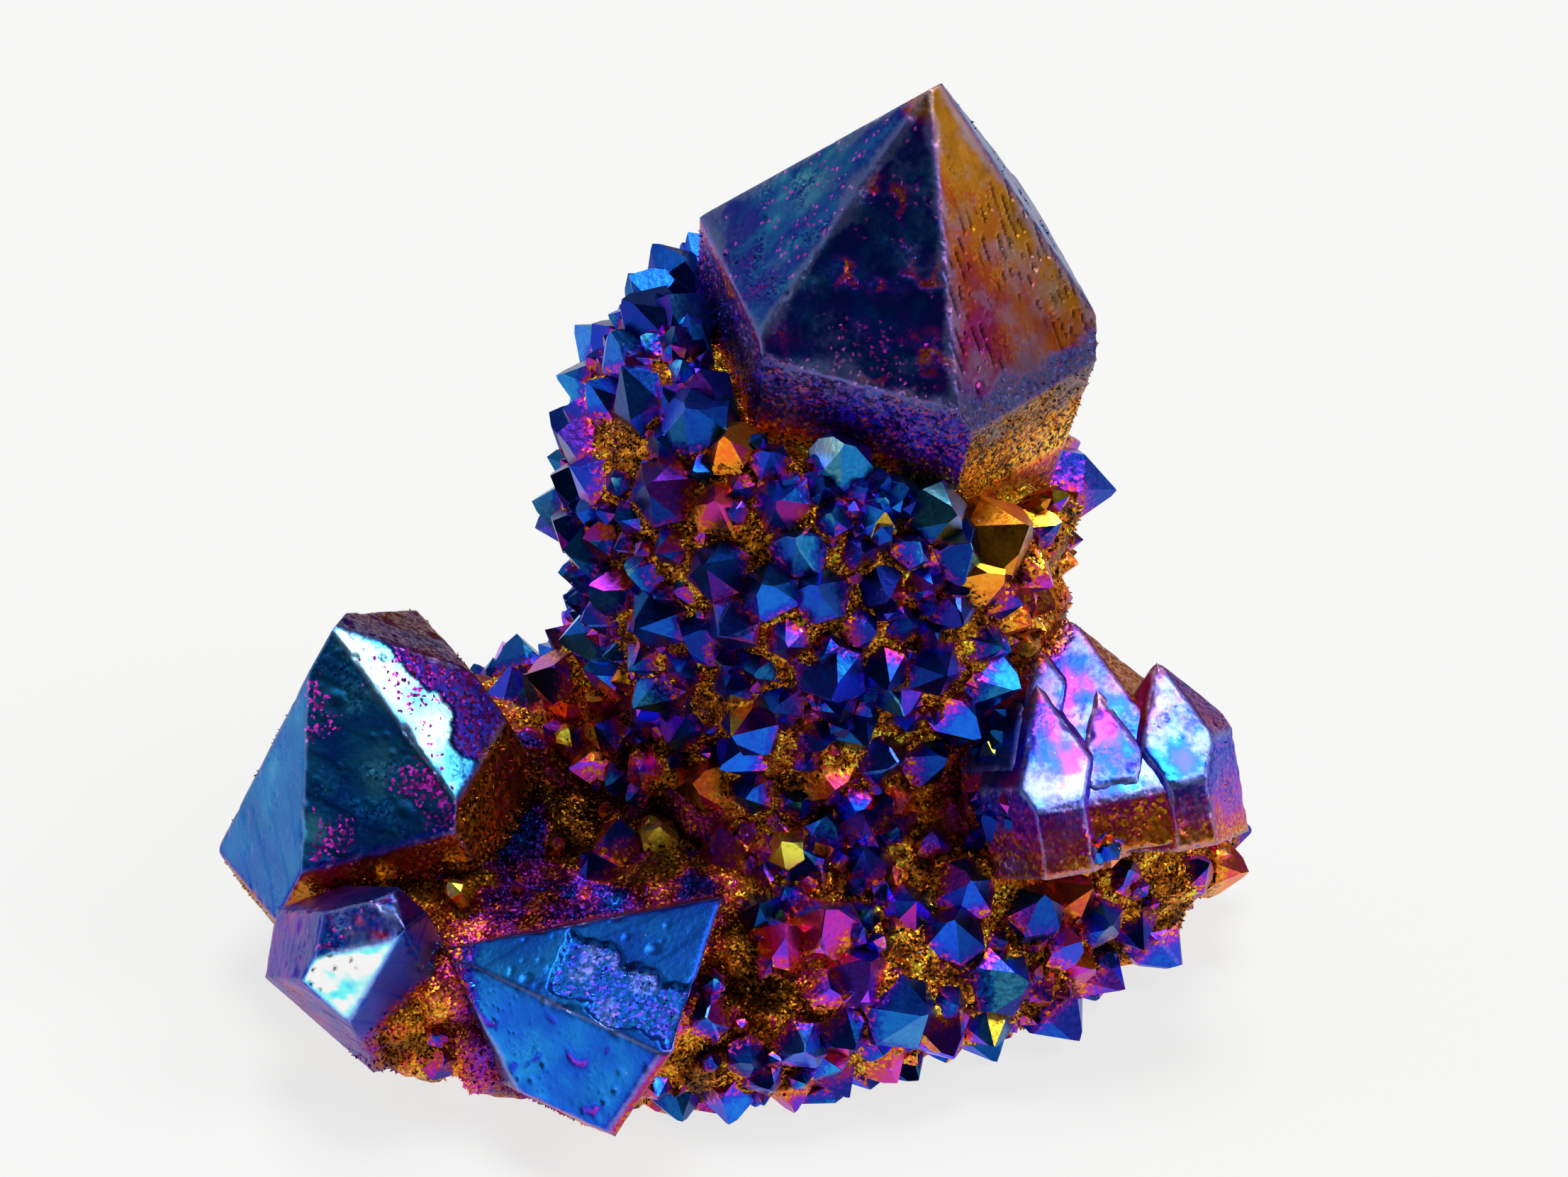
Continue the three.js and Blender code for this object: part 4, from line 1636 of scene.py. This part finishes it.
# Where the druse is mostly bare grains: middle and reach in millimetres.
BARE = (((-13.8, -8.4, 13.0), 6.0), ((-7.0, -11.0, 13.0), 4.0), ((-1.5, -19.0, 10.0), 3.5))


# ---- Small crystals -------------------------------------------------------------------------
BLUE = 0.705  # film of most small crystals, on the scale of colours
GOLD_PAINTED_GLINT = (0.22, 3.0)  # film and tone of a face painted bright, as if it caught the light
PINK_PAINTED_GLINT = (0.42, 5.0)
FLAT_GRIT = 0.06  # how sugary the faces of small crystals are


@dataclass
class PointForm:
    """Sizes of one small quartz point."""

    tip: Array
    axis: Array
    corner: Array  # the way to one corner of its section
    apothem: float
    depth: float  # from the tip down to its root
    base: Array
    spread: float = 0.5  # how unequal its pyramid faces are, in apothems
    bevel: float = 0.07  # depth of the worn edges, in apothems
    blunt: float = 0.0  # how much of the tip is broken off, in apothems
    # a stray's faces are painted bright, as a highlight
    golden: bool = False


def sparse(places: Array, stretch: float = 1.0) -> Array:
    """How likely a crystal is missing, where the druse is mostly bare grains.

    Args:
        places: Places, three numbers in the last axis.
        stretch: How much wider than their own reach the bare parts are taken.

    Returns:
        A value from 0 to 1 for each place.
    """
    near = []
    for middle, reach in BARE:
        away = np.linalg.norm(places - np.array(middle), axis=-1) / (reach * stretch)
        near.append(1 - smoothstep(0.6, 1.0, away))
    return np.max(near, axis=0)


def warmth(place: Array) -> float:
    """How much of the druse keeps a thin, golden film there: more low down and to the right.

    Args:
        place: The place of one crystal.

    Returns:
        The chance that it does, 0 to 1.
    """
    low = 0.16 * smoothstep(28, 18, place[2])
    right = 0.75 * smoothstep(9, 15, place[0]) * smoothstep(16, 22, place[2])
    end = 0.3 * smoothstep(22, 27, place[0])
    return float(0.06 + low + right + end)


@dataclass(frozen=True)
class Perch:
    """Small crystals that settled on one face of a large crystal."""

    crystal: LargeCrystal
    plane: int
    count: int
    smallest: float
    largest: float
    seed: int
    low: float = 0.0  # how strongly they gather along its lower edge

    def forms(self) -> list[PointForm]:
        """Sizes of the crystals.

        Returns:
            One form for each.
        """
        draws = np.random.default_rng(self.seed)
        flat = meet(*self.crystal.cut_planes())
        corners = flat.corners[flat.loops[flat.planes.index(self.plane)]]
        normal = self.crystal.turn @ self.crystal.cut_planes()[0][self.plane]
        fall = (corners @ self.crystal.turn.T)[:, 2]
        gather = 1 + self.low * (fall.max() - fall) / np.ptp(fall)
        found = []
        for _ in range(self.count):
            weight = draws.dirichlet(gather)
            place = self.crystal.turn @ (weight @ corners) + np.array(self.crystal.tip)
            chance = draws.random(6)
            axis = unit(normal + 0.5 * UP + 0.8 * (chance[:3] - 0.5))
            apothem = self.smallest + (self.largest - self.smallest) * chance[3]
            tip = place + axis * apothem * (0.4 + 0.9 * chance[4])
            across = unit(np.cross(axis, unit(draws.random(3) - 0.45)))
            found.append(PointForm(tip, axis, across, apothem, 2.4, place, 0.5, 0.05))
        return found


@dataclass(frozen=True)
class Stray:
    """A golden crystal alone on a bare part of a crust, painted bright as a highlight."""

    crust: Crust
    azimuth: float
    share: float
    apothem: float
    lean: tuple[float, float, float]

    def forms(self) -> list[PointForm]:
        """Sizes of the crystal, as a list of one form.

        Returns:
            One form, in a list.
        """
        at = (np.array(self.azimuth), np.array(self.share))
        place = self.crust.at(*at)
        axis = unit(self.crust.outward(*at) + np.array(self.lean))
        across = unit(np.cross(axis, UP + 0.3))
        tip = place + axis * (self.apothem * 1.5 + 1.3)
        return [PointForm(tip, axis, across, self.apothem, 3.2, place, spread=0.6, golden=True)]


PERCHES = (
    Perch(RIGHT, 12, 26, 0.7, 1.5, 51),
    Perch(RIGHT, 11, 9, 0.6, 1.1, 52),
    Perch(RIGHT, 2, 14, 0.4, 0.8, 53, 9.0),
    Perch(RIGHT, 4, 7, 0.4, 0.9, 54, 9.0),
)
STRAYS = (
    Stray(BASE, 205, 0.56, 0.95, (0.0, -0.5, 0.5)),
    Stray(BASE, 216, 0.63, 0.85, (0.2, -0.3, 0.6)),
    Stray(BASE, 213, 0.66, 0.6, (-0.4, -0.2, 0.4)),
    Stray(BASE, 236, 0.92, 1.2, (0.1, -0.6, 0.2)),
    Stray(BASE, 233, 0.95, 0.8, (-0.3, -0.4, 0.5)),
    Stray(BASE, 287, 0.81, 1.1, (-0.2, -0.4, 0.4)),
    Stray(BASE, 178, 0.93, 0.8, (0.2, -0.6, 0.5)),
)


@dataclass
class PointCrust:
    """Hundreds of small quartz points with unequal faces, worn edges and blunt tips."""

    name: str
    crust: Crust
    seed: int
    perches: tuple[Perch | Stray, ...] = ()
    fill_share: float = 0.75  # share of the gaps where a smaller crystal grew
    root: float = 2.8  # mm that a crystal reaches down under the crust
    margin: float = 0.5  # mm between a tip and a large crystal

    def free(self, tip: Array, base: Array) -> bool:
        """Whether a crystal stands clear of every large crystal and of its apron of grains."""
        clear = all(crystal.clearance(tip) >= self.margin for crystal in LARGE + SLIVERS)
        return clear and all(crystal.clearance(base) >= crystal.apron for crystal in LARGE)

    def forms(self, rows: list[list[Site]], draws: Chances) -> list[PointForm]:
        """Sizes of the crystals that stand at the net's places.

        Args:
            rows: The net.
            draws: Random numbers.

        Returns:
            One form for each crystal that isn't grown over.
        """
        found = []
        columns = self.crust.columns
        for row in range(1, len(rows) - 1):
            for column, site in enumerate(rows[row]):
                chance = draws.random(4)
                if not self.free(site.tip, site.point) or sparse(site.point) > chance[3]:
                    continue
                beside = rows[row][(column + 1) % columns].point
                above = rows[row + 1][(column + row % 2) % columns].point
                valley = (site.point + beside + above) / 3 - site.tip
                corner = unit(valley - site.axis * (valley @ site.axis))
                corner = about(site.axis, site.spin) @ corner
                found.append(
                    PointForm(
                        site.tip,
                        site.axis,
                        corner,
                        site.apothem * (1.14 + 0.18 * chance[0]),
                        site.apothem * (max(site.prism, 0.1) + PYRAMID_RISE) + self.root,
                        site.point,
                        spread=0.25 + 0.5 * chance[1],
                        bevel=0.02 + 0.05 * chance[2],
                        blunt=0.12 * max(0.0, chance[3] - 0.7) / 0.3,
                    )
                )
        return found

    def fillers(self, rows: list[list[Site]], draws: Chances) -> list[PointForm]:
        """Sizes of the smaller crystals that grew in the gaps between three places.

        Args:
            rows: The net.
            draws: Random numbers.

        Returns:
            One form for each.
        """
        found = []
        columns = self.crust.columns
        for row in range(len(rows) - 1):
            odd = row % 2
            for column in range(columns):
                for upper in (False, True):
                    chance = draws.random(9)
                    if chance[0] > self.fill_share:
                        continue
                    here, beside = rows[row][column], rows[row][(column + 1) % columns]
                    above = rows[row + 1][(column + odd) % columns]
                    if upper:
                        here, beside = rows[row + 1][column], rows[row + 1][(column + 1) % columns]
                        above = rows[row][(column + 1 - odd) % columns]
                    place = (here.point + beside.point + above.point) / 3
                    axis = unit(here.axis + beside.axis + above.axis)
                    axis = unit(axis + 0.9 * (chance[1:4] - 0.5))
                    apothem = 0.36 + 0.5 * chance[4]
                    tip = place + axis * (apothem * PYRAMID_RISE + 0.15 + 0.75 * chance[5])
                    if not self.free(tip - axis * 0.3, place) or tip[2] < GROUND + 0.5:
                        continue
                    across = unit(np.cross(axis, unit(chance[6:9] - 0.45)))
                    found.append(PointForm(tip, axis, across, apothem, self.root, place, 0.5, 0.05))
        return found

    def cut(self, form: PointForm, draws: Chances) -> tuple[FlatForm, list[float]] | None:
        """Cuts one crystal out of its planes.

        Args:
            form: Its sizes.
            draws: Random numbers.

        Returns:
            The flat form in the part's frame and how worn each face is, or None if nothing is left.
        """
        across = np.cross(form.axis, form.corner)
        frame_of = np.stack([form.corner, across, form.axis], axis=1)
        normals, distances = [-UP], [form.depth]
        chance = draws.random((SIDES, 3))
        major = draws.integers(2)
        for side in range(SIDES):
            azimuth = 30 + side * SIDE_STEP
            held = form.spread * form.apothem * (0.05 + 0.4 * chance[side, 0])
            back = 0.04 * form.apothem * chance[side, 1] if side % 2 == major else held
            normals += [direction(PYRAMID_TILT, azimuth), direction(90, azimuth)]
            distances += [back, form.apothem * (0.84 + 0.16 * chance[side, 2])]
        normals.append(frame_of.T @ -UP)
        distances.append(float(form.tip @ UP) - GROUND)
        plain = meet(np.array(normals), np.array(distances))
        edges = {}
        for plane, loop in zip(plain.planes, plain.loops):
            for start, end in zip(loop, loop[1:] + loop[:1]):
                edges.setdefault((min(start, end), max(start, end)), []).append(plane)
        count = len(normals)
        for (start, _), pair in edges.items():
            if len(pair) != 2 or 0 in pair or count - 1 in pair:
                continue
            normal = unit(normals[pair[0]] + normals[pair[1]])
            depth = form.bevel * form.apothem * (0.5 + draws.random())
            normals.append(normal)
            distances.append(float(plain.corners[start] @ normal) - depth * 0.5)
        if form.blunt:
            lean = unit(np.array([*(draws.random(2) - 0.5), 1.0]))
            normals.append(lean)
            distances.append(-form.blunt * form.apothem)
        cut = meet(np.array(normals), np.array(distances))
        if not cut.closed():
            cut = plain
            if not cut.closed():
                return None
        worn = [0.0 if plane < count else 0.5 for plane in cut.planes]
        cut.corners = cut.corners @ frame_of.T + form.tip
        return cut, worn

    def colours(self, form: PointForm, faces: int, draws: Chances) -> dict[str, Sequence[float]]:
        """Film and tone of each face of one crystal.

        Args:
            form: Its sizes.
            faces: How many faces it has.
            draws: Random numbers.

        Returns:
            One number for each face, by name.
        """
        warm = warmth(form.base)
        own = BLUE + 0.045 * draws.standard_normal()
        chance, shade, painted_glint_chance, hue = draws.random(4)
        thin = chance < warm
        if thin:
            own = 0.2 + 0.28 * shade + 0.12 * smoothstep(22, 12, form.base[2])
        film = own + 0.035 * draws.standard_normal(faces)
        odd = draws.random(faces)
        film = np.where(odd > 0.94, film + 0.12, np.where(odd < 0.1, film - 0.2, film))
        tone = 0.5 + 1.1 * draws.random(faces) ** 1.4 + 0.5 * thin
        # Painted highlight: a stray keeps a gold film and is painted three steps brighter, as if it
        # caught the light.
        if form.golden:
            film, tone = 0.24 + 0.3 * (film - own), tone + 3.0
        # Painted highlight: on a few crystals, more where the film is warm, one face is painted
        # bright gold or pinkish white, as if it caught the light.
        lit = draws.integers(faces)
        if painted_glint_chance < 0.05 + 0.3 * warm:
            film[lit], tone[lit] = GOLD_PAINTED_GLINT if hue < 0.6 else PINK_PAINTED_GLINT
        # Painted light: crystals lower down, in the shade of the stem above, are painted up to a
        # fifth brighter.
        tone *= 1 + 0.2 * smoothstep(28, 16, form.base[2])
        return {"film": film, "tone": tone, "grit": [FLAT_GRIT] * faces}

    def build(self, rise_of: Rise) -> tuple[Array, list[list[int]], list[float], dict[str, Any]]:
        """Builds every crystal of the crust.

        Args:
            rise_of: Gives how far above the granular skin each place lies.

        Returns:
            Points, loops, how far each point lies above the skin, and named numbers for the loops.
        """
        draws = np.random.default_rng(self.seed)
        rows = self.crust.sites()
        guests = [form for perch in self.perches for form in perch.forms()]
        points, loops, rise, numbers = [], [], [], {}
        for form in self.forms(rows, draws) + self.fillers(rows, draws) + guests:
            made = self.cut(form, draws)
            if made is None:
                continue
            flat, worn = made
            loops += [[len(points) + corner for corner in loop] for loop in flat.loops]
            points.extend(flat.corners)
            rise.extend(rise_of(flat.corners) * (1 - 0.45 * warmth(form.base)))
            for name, values in self.colours(form, len(worn), draws).items():
                numbers.setdefault(name, []).extend(values)
            numbers.setdefault("wear", []).extend(worn)
        return np.array(points), loops, rise, numbers


# ---- Grains ---------------------------------------------------------------------------------
@dataclass(frozen=True)
class GrainSpread:
    """Tiny quartz points scattered over a skin by geometry nodes, thickest where it is gritty.

    Real grains are a good deal finer and wouldn't show, so they are drawn coarser.
    """

    name: str
    per_mm2: float
    radius_mm: float
    seed: int

    def tree(self, material: Finish) -> bpy.types.NodeTree:
        """Builds the node tree.

        Args:
            material: Finish of the grains.

        Returns:
            The tree, with named inputs for density, radius and seed.
        """
        tree = bpy.data.node_groups.new(self.name + "_tree", "GeometryNodeTree")
        for name, way, kind in (
            ("Skin", "INPUT", "Geometry"),
            ("Density", "INPUT", "Float"),
            ("Grain radius", "INPUT", "Float"),
            ("Seed", "INPUT", "Int"),
            ("Grains", "OUTPUT", "Geometry"),
        ):
            tree.interface.new_socket(name, in_out=way, socket_type="NodeSocket" + kind)
        strewn = {"Mesh": "given.Skin", "Density": "density.Value", "Seed": "given.Seed"}
        cone = {"Vertices": SIDES, "Side Segments": 1, "Fill Segments": 1, "Radius Top": 0.0}
        cone |= {"Radius Bottom": "given.Grain radius", "Depth": "tall.Value"}
        sunk = {"Geometry": "point.Mesh", "Translation": "offset.Vector"}
        tilt = {"Min": (-0.7, -0.7, -3.1), "Max": (0.7, 0.7, 3.1), "Seed": "given.Seed"}
        sizes = {"From Min": 0.0, "From Max": 1.0, "To Min": 0.45, "To Max": 1.5}
        turn = {"Rotation": "strewn.Rotation", "Rotate By": "tilt.Rotation"}
        place = {"Points": "strewn.Points", "Instance": "point.Geometry", "Scale": "size.Result"}
        rows = [
            ("given", "NodeGroupInput", {}, {}),
            ("spread", STORED, FLOATS, {"Name": "spread"}),
            ("density", MATH, MULTIPLY, {0: "given.Density", 1: "spread.Attribute"}),
            ("strewn", "GeometryNodeDistributePointsOnFaces", {}, strewn),
            # One grain: a steep six-sided point sunk into the skin by its own radius.
            ("tall", MATH, MULTIPLY, {0: "given.Grain radius", 1: 2.6}),
            ("point", "GeometryNodeMeshCone", {"fill_type": "NGON"}, cone),
            ("sink", MATH, MULTIPLY, {0: "given.Grain radius", 1: -1.0}),
            ("offset", "ShaderNodeCombineXYZ", {}, {"Z": "sink.Value"}),
            ("point", "GeometryNodeTransform", {}, sunk),
            # Each stands its own way and has its own size.
            ("tilt", CHANCE, {"data_type": "FLOAT_VECTOR"}, tilt),
            ("tilt", "FunctionNodeEulerToRotation", {}, {"Euler": "tilt.Value"}),
            ("turn", "FunctionNodeRotateRotation", {"rotation_space": "LOCAL"}, turn),
            ("size", CHANCE, FLOATS, {"Min": 0.0, "Max": 1.0, "Seed": 5}),
            ("size", MAP_RANGE, {}, {"Value": "size.Value", **sizes}),
            ("placed", "GeometryNodeInstanceOnPoints", {}, {**place, "Rotation": "turn.Rotation"}),
        ]
        source, on_each = "placed.Instances", {**FLOATS, "domain": "INSTANCE"}
        # Each changes the numbers of the skin under it a little.
        for name, how, low, high, seed in (
            ("film", ADD, -0.04, 0.1, 21),
            ("tone", MULTIPLY, 0.4, 1.9, 22),
        ):
            kept = {"Geometry": source, "Name": name, "Value": "value.Value"}
            rows += [
                ("under", STORED, FLOATS, {"Name": name}),
                ("value", CHANCE, FLOATS, {"Min": low, "Max": high, "Seed": seed}),
                ("value", MATH, how, {0: "under.Attribute", 1: "value.Value"}),
                ("placed", "GeometryNodeStoreNamedAttribute", on_each, kept),
            ]
            source = "placed.Geometry"
        dressed = {"Geometry": "solid.Geometry", "Material": material}
        rows += [
            ("solid", "GeometryNodeRealizeInstances", {}, {"Geometry": source}),
            ("dressed", "GeometryNodeSetMaterial", {}, dressed),
            ("output", "NodeGroupOutput", {}, {"Grains": "dressed.Geometry"}),
        ]
        grow(tree, rows)
        return tree

    def build(self, skin: Piece, material: Finish) -> Piece:
        """Scatters the grains and turns them into a plain mesh.

        Args:
            skin: The mesh that carries them, with its "spread" numbers.
            material: Their finish.

        Returns:
            The mesh object of the grains alone.
        """
        tree = self.tree(material)
        modifier = skin.modifiers.new("grains", "NODES")
        modifier.node_group = tree
        values = {
            "Density": self.per_mm2 / MM**2,
            "Grain radius": self.radius_mm * MM,
            "Seed": self.seed,
        }
        for item in tree.interface.items_tree:
            if item.name in values:
                modifier[item.identifier] = values[item.name]
        grown = skin.evaluated_get(bpy.context.evaluated_depsgraph_get())
        mesh = bpy.data.meshes.new_from_object(grown)
        mesh.name = self.name
        skin.modifiers.remove(modifier)
        bpy.data.node_groups.remove(tree)
        return put_in_scene(self.name, mesh)


# ---- The cluster ----------------------------------------------------------------------------
@dataclass
class Cluster:
    """The whole grown-together cluster."""

    # Titanium vapour laid in a vacuum on smooth growth faces: a soft mirror that turns from gold
    # at the root to violet and blue above, with frosty edges where it is worn.
    faces: TitaniumFilm = TitaniumFilm(
        "titanium_film_on_quartz_faces",
        foot=0.9,
        mottle=0.03,
        roughness=0.27,
        speck=0.15,
        speck_mm=0.18,
    )
    # The same film on crystals one to three millimetres wide: each facet holds one clear colour,
    # and its foot goes over magenta and gold into the crust.
    points: TitaniumFilm = TitaniumFilm("titanium_film_on_small_points", foot=0.58, mottle=0.06)
    # The same film, thinner, on sugary grains: brown and gold, each grain glinting its own way.
    grit: TitaniumFilm = TitaniumFilm(
        "titanium_film_on_granular_quartz",
        foot=0.01,
        speck=0.1,
        speck_mm=0.14,
        glint=1.1,
        roughness=0.25,
    )
    skin_grains: tuple[float, float] = (6.0, 0.13)  # grains per mm2, and their radius in mm
    foot_grains: tuple[float, float] = (7.0, 0.09)  # the same on a large crystal's foot
    tree: Any = None

    def remember(self, blocks: list[Array]) -> None:
        """Keeps the granular skins' points, from which heights over the crust are measured.

        Args:
            blocks: The points of each skin.
        """
        places = np.vstack(blocks)
        self.tree = kdtree.KDTree(len(places))
        for index, place in enumerate(places):
            self.tree.insert(Vector(place), index)
        self.tree.balance()

    def rise(self, points: Array) -> Array:
        """How far each place lies from the granular skin, in millimetres."""
        return np.array([self.tree.find(Vector(place))[2] for place in points])

    def build(self) -> None:
        """Builds and dresses every piece."""
        faces, points, grit = self.faces.build(), self.points.build(), self.grit.build()
        skins = [
            GranularSkin("stem_skin", STEM, 240, 110),
            GranularSkin("base_skin", BASE, 330, 130),
        ]
        built = [skin.build() for skin in skins]
        self.remember([places for places, _, _ in built])
        carriers = []
        for skin, (places, loops, numbers) in zip(skins, built):
            piece = make_object(skin.name, places, loops, True)
            set_numbers(piece, numbers, Domain.POINT)
            hand_over(piece, grit)
            carriers.append((piece, skin.name.replace("skin", "grains"), *self.skin_grains))
        for crystal in LARGE + SLIVERS:
            places, triangles, numbers = crystal.build(self.rise)
            piece = make_object(crystal.name, places, triangles.tolist(), True)
            set_numbers(piece, numbers, Domain.POINT)
            hand_over(piece, faces)
            carriers.append((piece, crystal.name + "_grains", *self.foot_grains))
        for crust in (
            PointCrust("stem_points", STEM, 5, PERCHES),
            PointCrust("base_points", BASE, 6, STRAYS),
        ):
            places, loops, rise, numbers = crust.build(self.rise)
            piece = make_object(crust.name, places, loops, False)
            set_numbers(piece, {"rise": rise}, Domain.POINT)
            set_numbers(piece, numbers, Domain.FACE)
            hand_over(piece, points)
        for seed, (carrier, name, density, radius) in enumerate(carriers, start=1):
            piece = GrainSpread(name, density, radius, seed).build(carrier, grit)
            if len(piece.data.polygons):
                hand_over(piece, grit)
            else:
                bpy.data.objects.remove(piece)


# ---- Studio ---------------------------------------------------------------------------------
@dataclass(frozen=True)
class Studio:
    """A white sweep lit from below, a pale room, two soft lights and the camera in front."""

    look_at: tuple[float, float, float] = (0.6, 0.0, 23.4)
    distance: float = 370.0
    elevation: float = 35.0
    lens: float = 144.5
    sensor: float = 36.0
    seen_from_to: tuple[float, float] = (0.01, 100.0)  # metres
    floor_side: float = 12.0  # metres
    lights: tuple[tuple[str, float, float, float, float], ...] = (
        # name, azimuth, elevation and angular width in degrees, strength
        ("overhead_softbox", 78.0, 76.0, 29.0, 2.4),
        ("right_softbox", -8.0, 45.0, 27.0, 1.15),
    )
    parts: tuple[tuple[str, float, float, float, float], ...] = (
        # part of the room, azimuth, elevation, and the cosines at which it starts and is full
        ("dark", -95, 38, 0.2, 0.8),
        ("left", 186, 8, 0.35, 0.97),
        ("back", 60, 20, 0.3, 1.0),
    )

    def camera(self) -> None:
        """Places the camera."""
        data = bpy.data.cameras.new("camera")
        data.lens, data.sensor_width = self.lens, self.sensor
        data.clip_start, data.clip_end = self.seen_from_to
        camera = put_in_scene("camera", data)
        back = direction(90 - self.elevation, -90) * self.distance
        camera.location = Vector((np.array(self.look_at) + back) * MM)
        camera.rotation_euler = (math.radians(90 - self.elevation), 0, 0)
        bpy.context.scene.camera = camera

    def floor(self) -> None:
        """Lays the matt white sweep, lit a little from below."""
        corners = np.array([[-1, -1, 0], [1, -1, 0], [1, 1, 0], [-1, 1, 0]])
        corners = corners * self.floor_side / 2 / MM
        sweep = make_object("studio_floor", corners, [[0, 1, 2, 3]], False)
        # Opal acrylic sanded matt and lit from below: an even pale ground with faint soft shadows.
        acrylic = bpy.data.materials.new("backlit_opal_acrylic_sweep")
        acrylic.use_nodes = True
        inputs = acrylic.node_tree.nodes["Principled BSDF"].inputs
        for name, value in (
            ("Base Color", linear("#686868")),
            ("Roughness", 0.9),
            ("Specular IOR Level", 0.1),
            ("Emission Color", linear("#fffffe")),
            ("Emission Strength", 0.76),
        ):
            inputs[name].default_value = value
        sweep.data.materials.append(acrylic)

    def room(self) -> None:
        """Lights the room: pale to the left, darker behind and dark on the camera's side."""
        world = bpy.data.worlds.new("room")
        world.use_nodes = True
        world.node_tree.nodes.clear()
        walls = {"Color": linear("#fbfbfa"), "Strength": "level.Value"}
        rows = [("way", "ShaderNodeTexCoord", {}, {})]
        for name, azimuth, elevation, start, end in self.parts:
            aim = tuple(direction(90 - elevation, azimuth))
            reach = {"From Min": start, "From Max": end}
            rows += [
                (name, VECTOR_MATH, {"operation": "DOT_PRODUCT"}, {0: "way.Generated", 1: aim}),
                (name, MAP_RANGE, SMOOTH, {"Value": name + ".Value", **reach}),
            ]
        rows += [
            ("level", MATH, MULTIPLY_ADD, {0: "left.Result", 1: 0.6, 2: 0.34}),
            ("level", MATH, MULTIPLY_ADD, {0: "back.Result", 1: -0.2, 2: "level.Value"}),
            ("keep", MATH, MULTIPLY_ADD, {0: "dark.Result", 1: -0.95, 2: 1.0}),
            ("level", MATH, MULTIPLY, {0: "level.Value", 1: "keep.Value"}),
            ("walls", "ShaderNodeBackground", {}, walls),
            ("output", "ShaderNodeOutputWorld", {}, {"Surface": "walls.Background"}),
        ]
        grow(world.node_tree, rows)
        bpy.context.scene.world = world

    def softboxes(self) -> None:
        """Hangs the soft lights, far enough away to light the floor evenly."""
        for name, azimuth, elevation, width, strength in self.lights:
            data = bpy.data.lights.new(name, "SUN")
            data.angle, data.energy = math.radians(width), strength
            lamp = put_in_scene(name, data)
            lamp.location = Vector(direction(90 - elevation, azimuth))
            lamp.rotation_euler = lamp.location.to_track_quat("Z", "Y").to_euler()

    def build(self) -> None:
        """Sets up the whole studio."""
        bpy.context.scene.view_settings.view_transform = "Standard"
        self.camera()
        self.floor()
        self.room()
        self.softboxes()


def main() -> None:
    """Builds the cluster and the studio."""
    logging.basicConfig(level=logging.INFO, format="%(relativeCreated)d ms %(message)s")
    Studio().build()
    Cluster().build()
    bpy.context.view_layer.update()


if __name__ == "__main__":
    main()
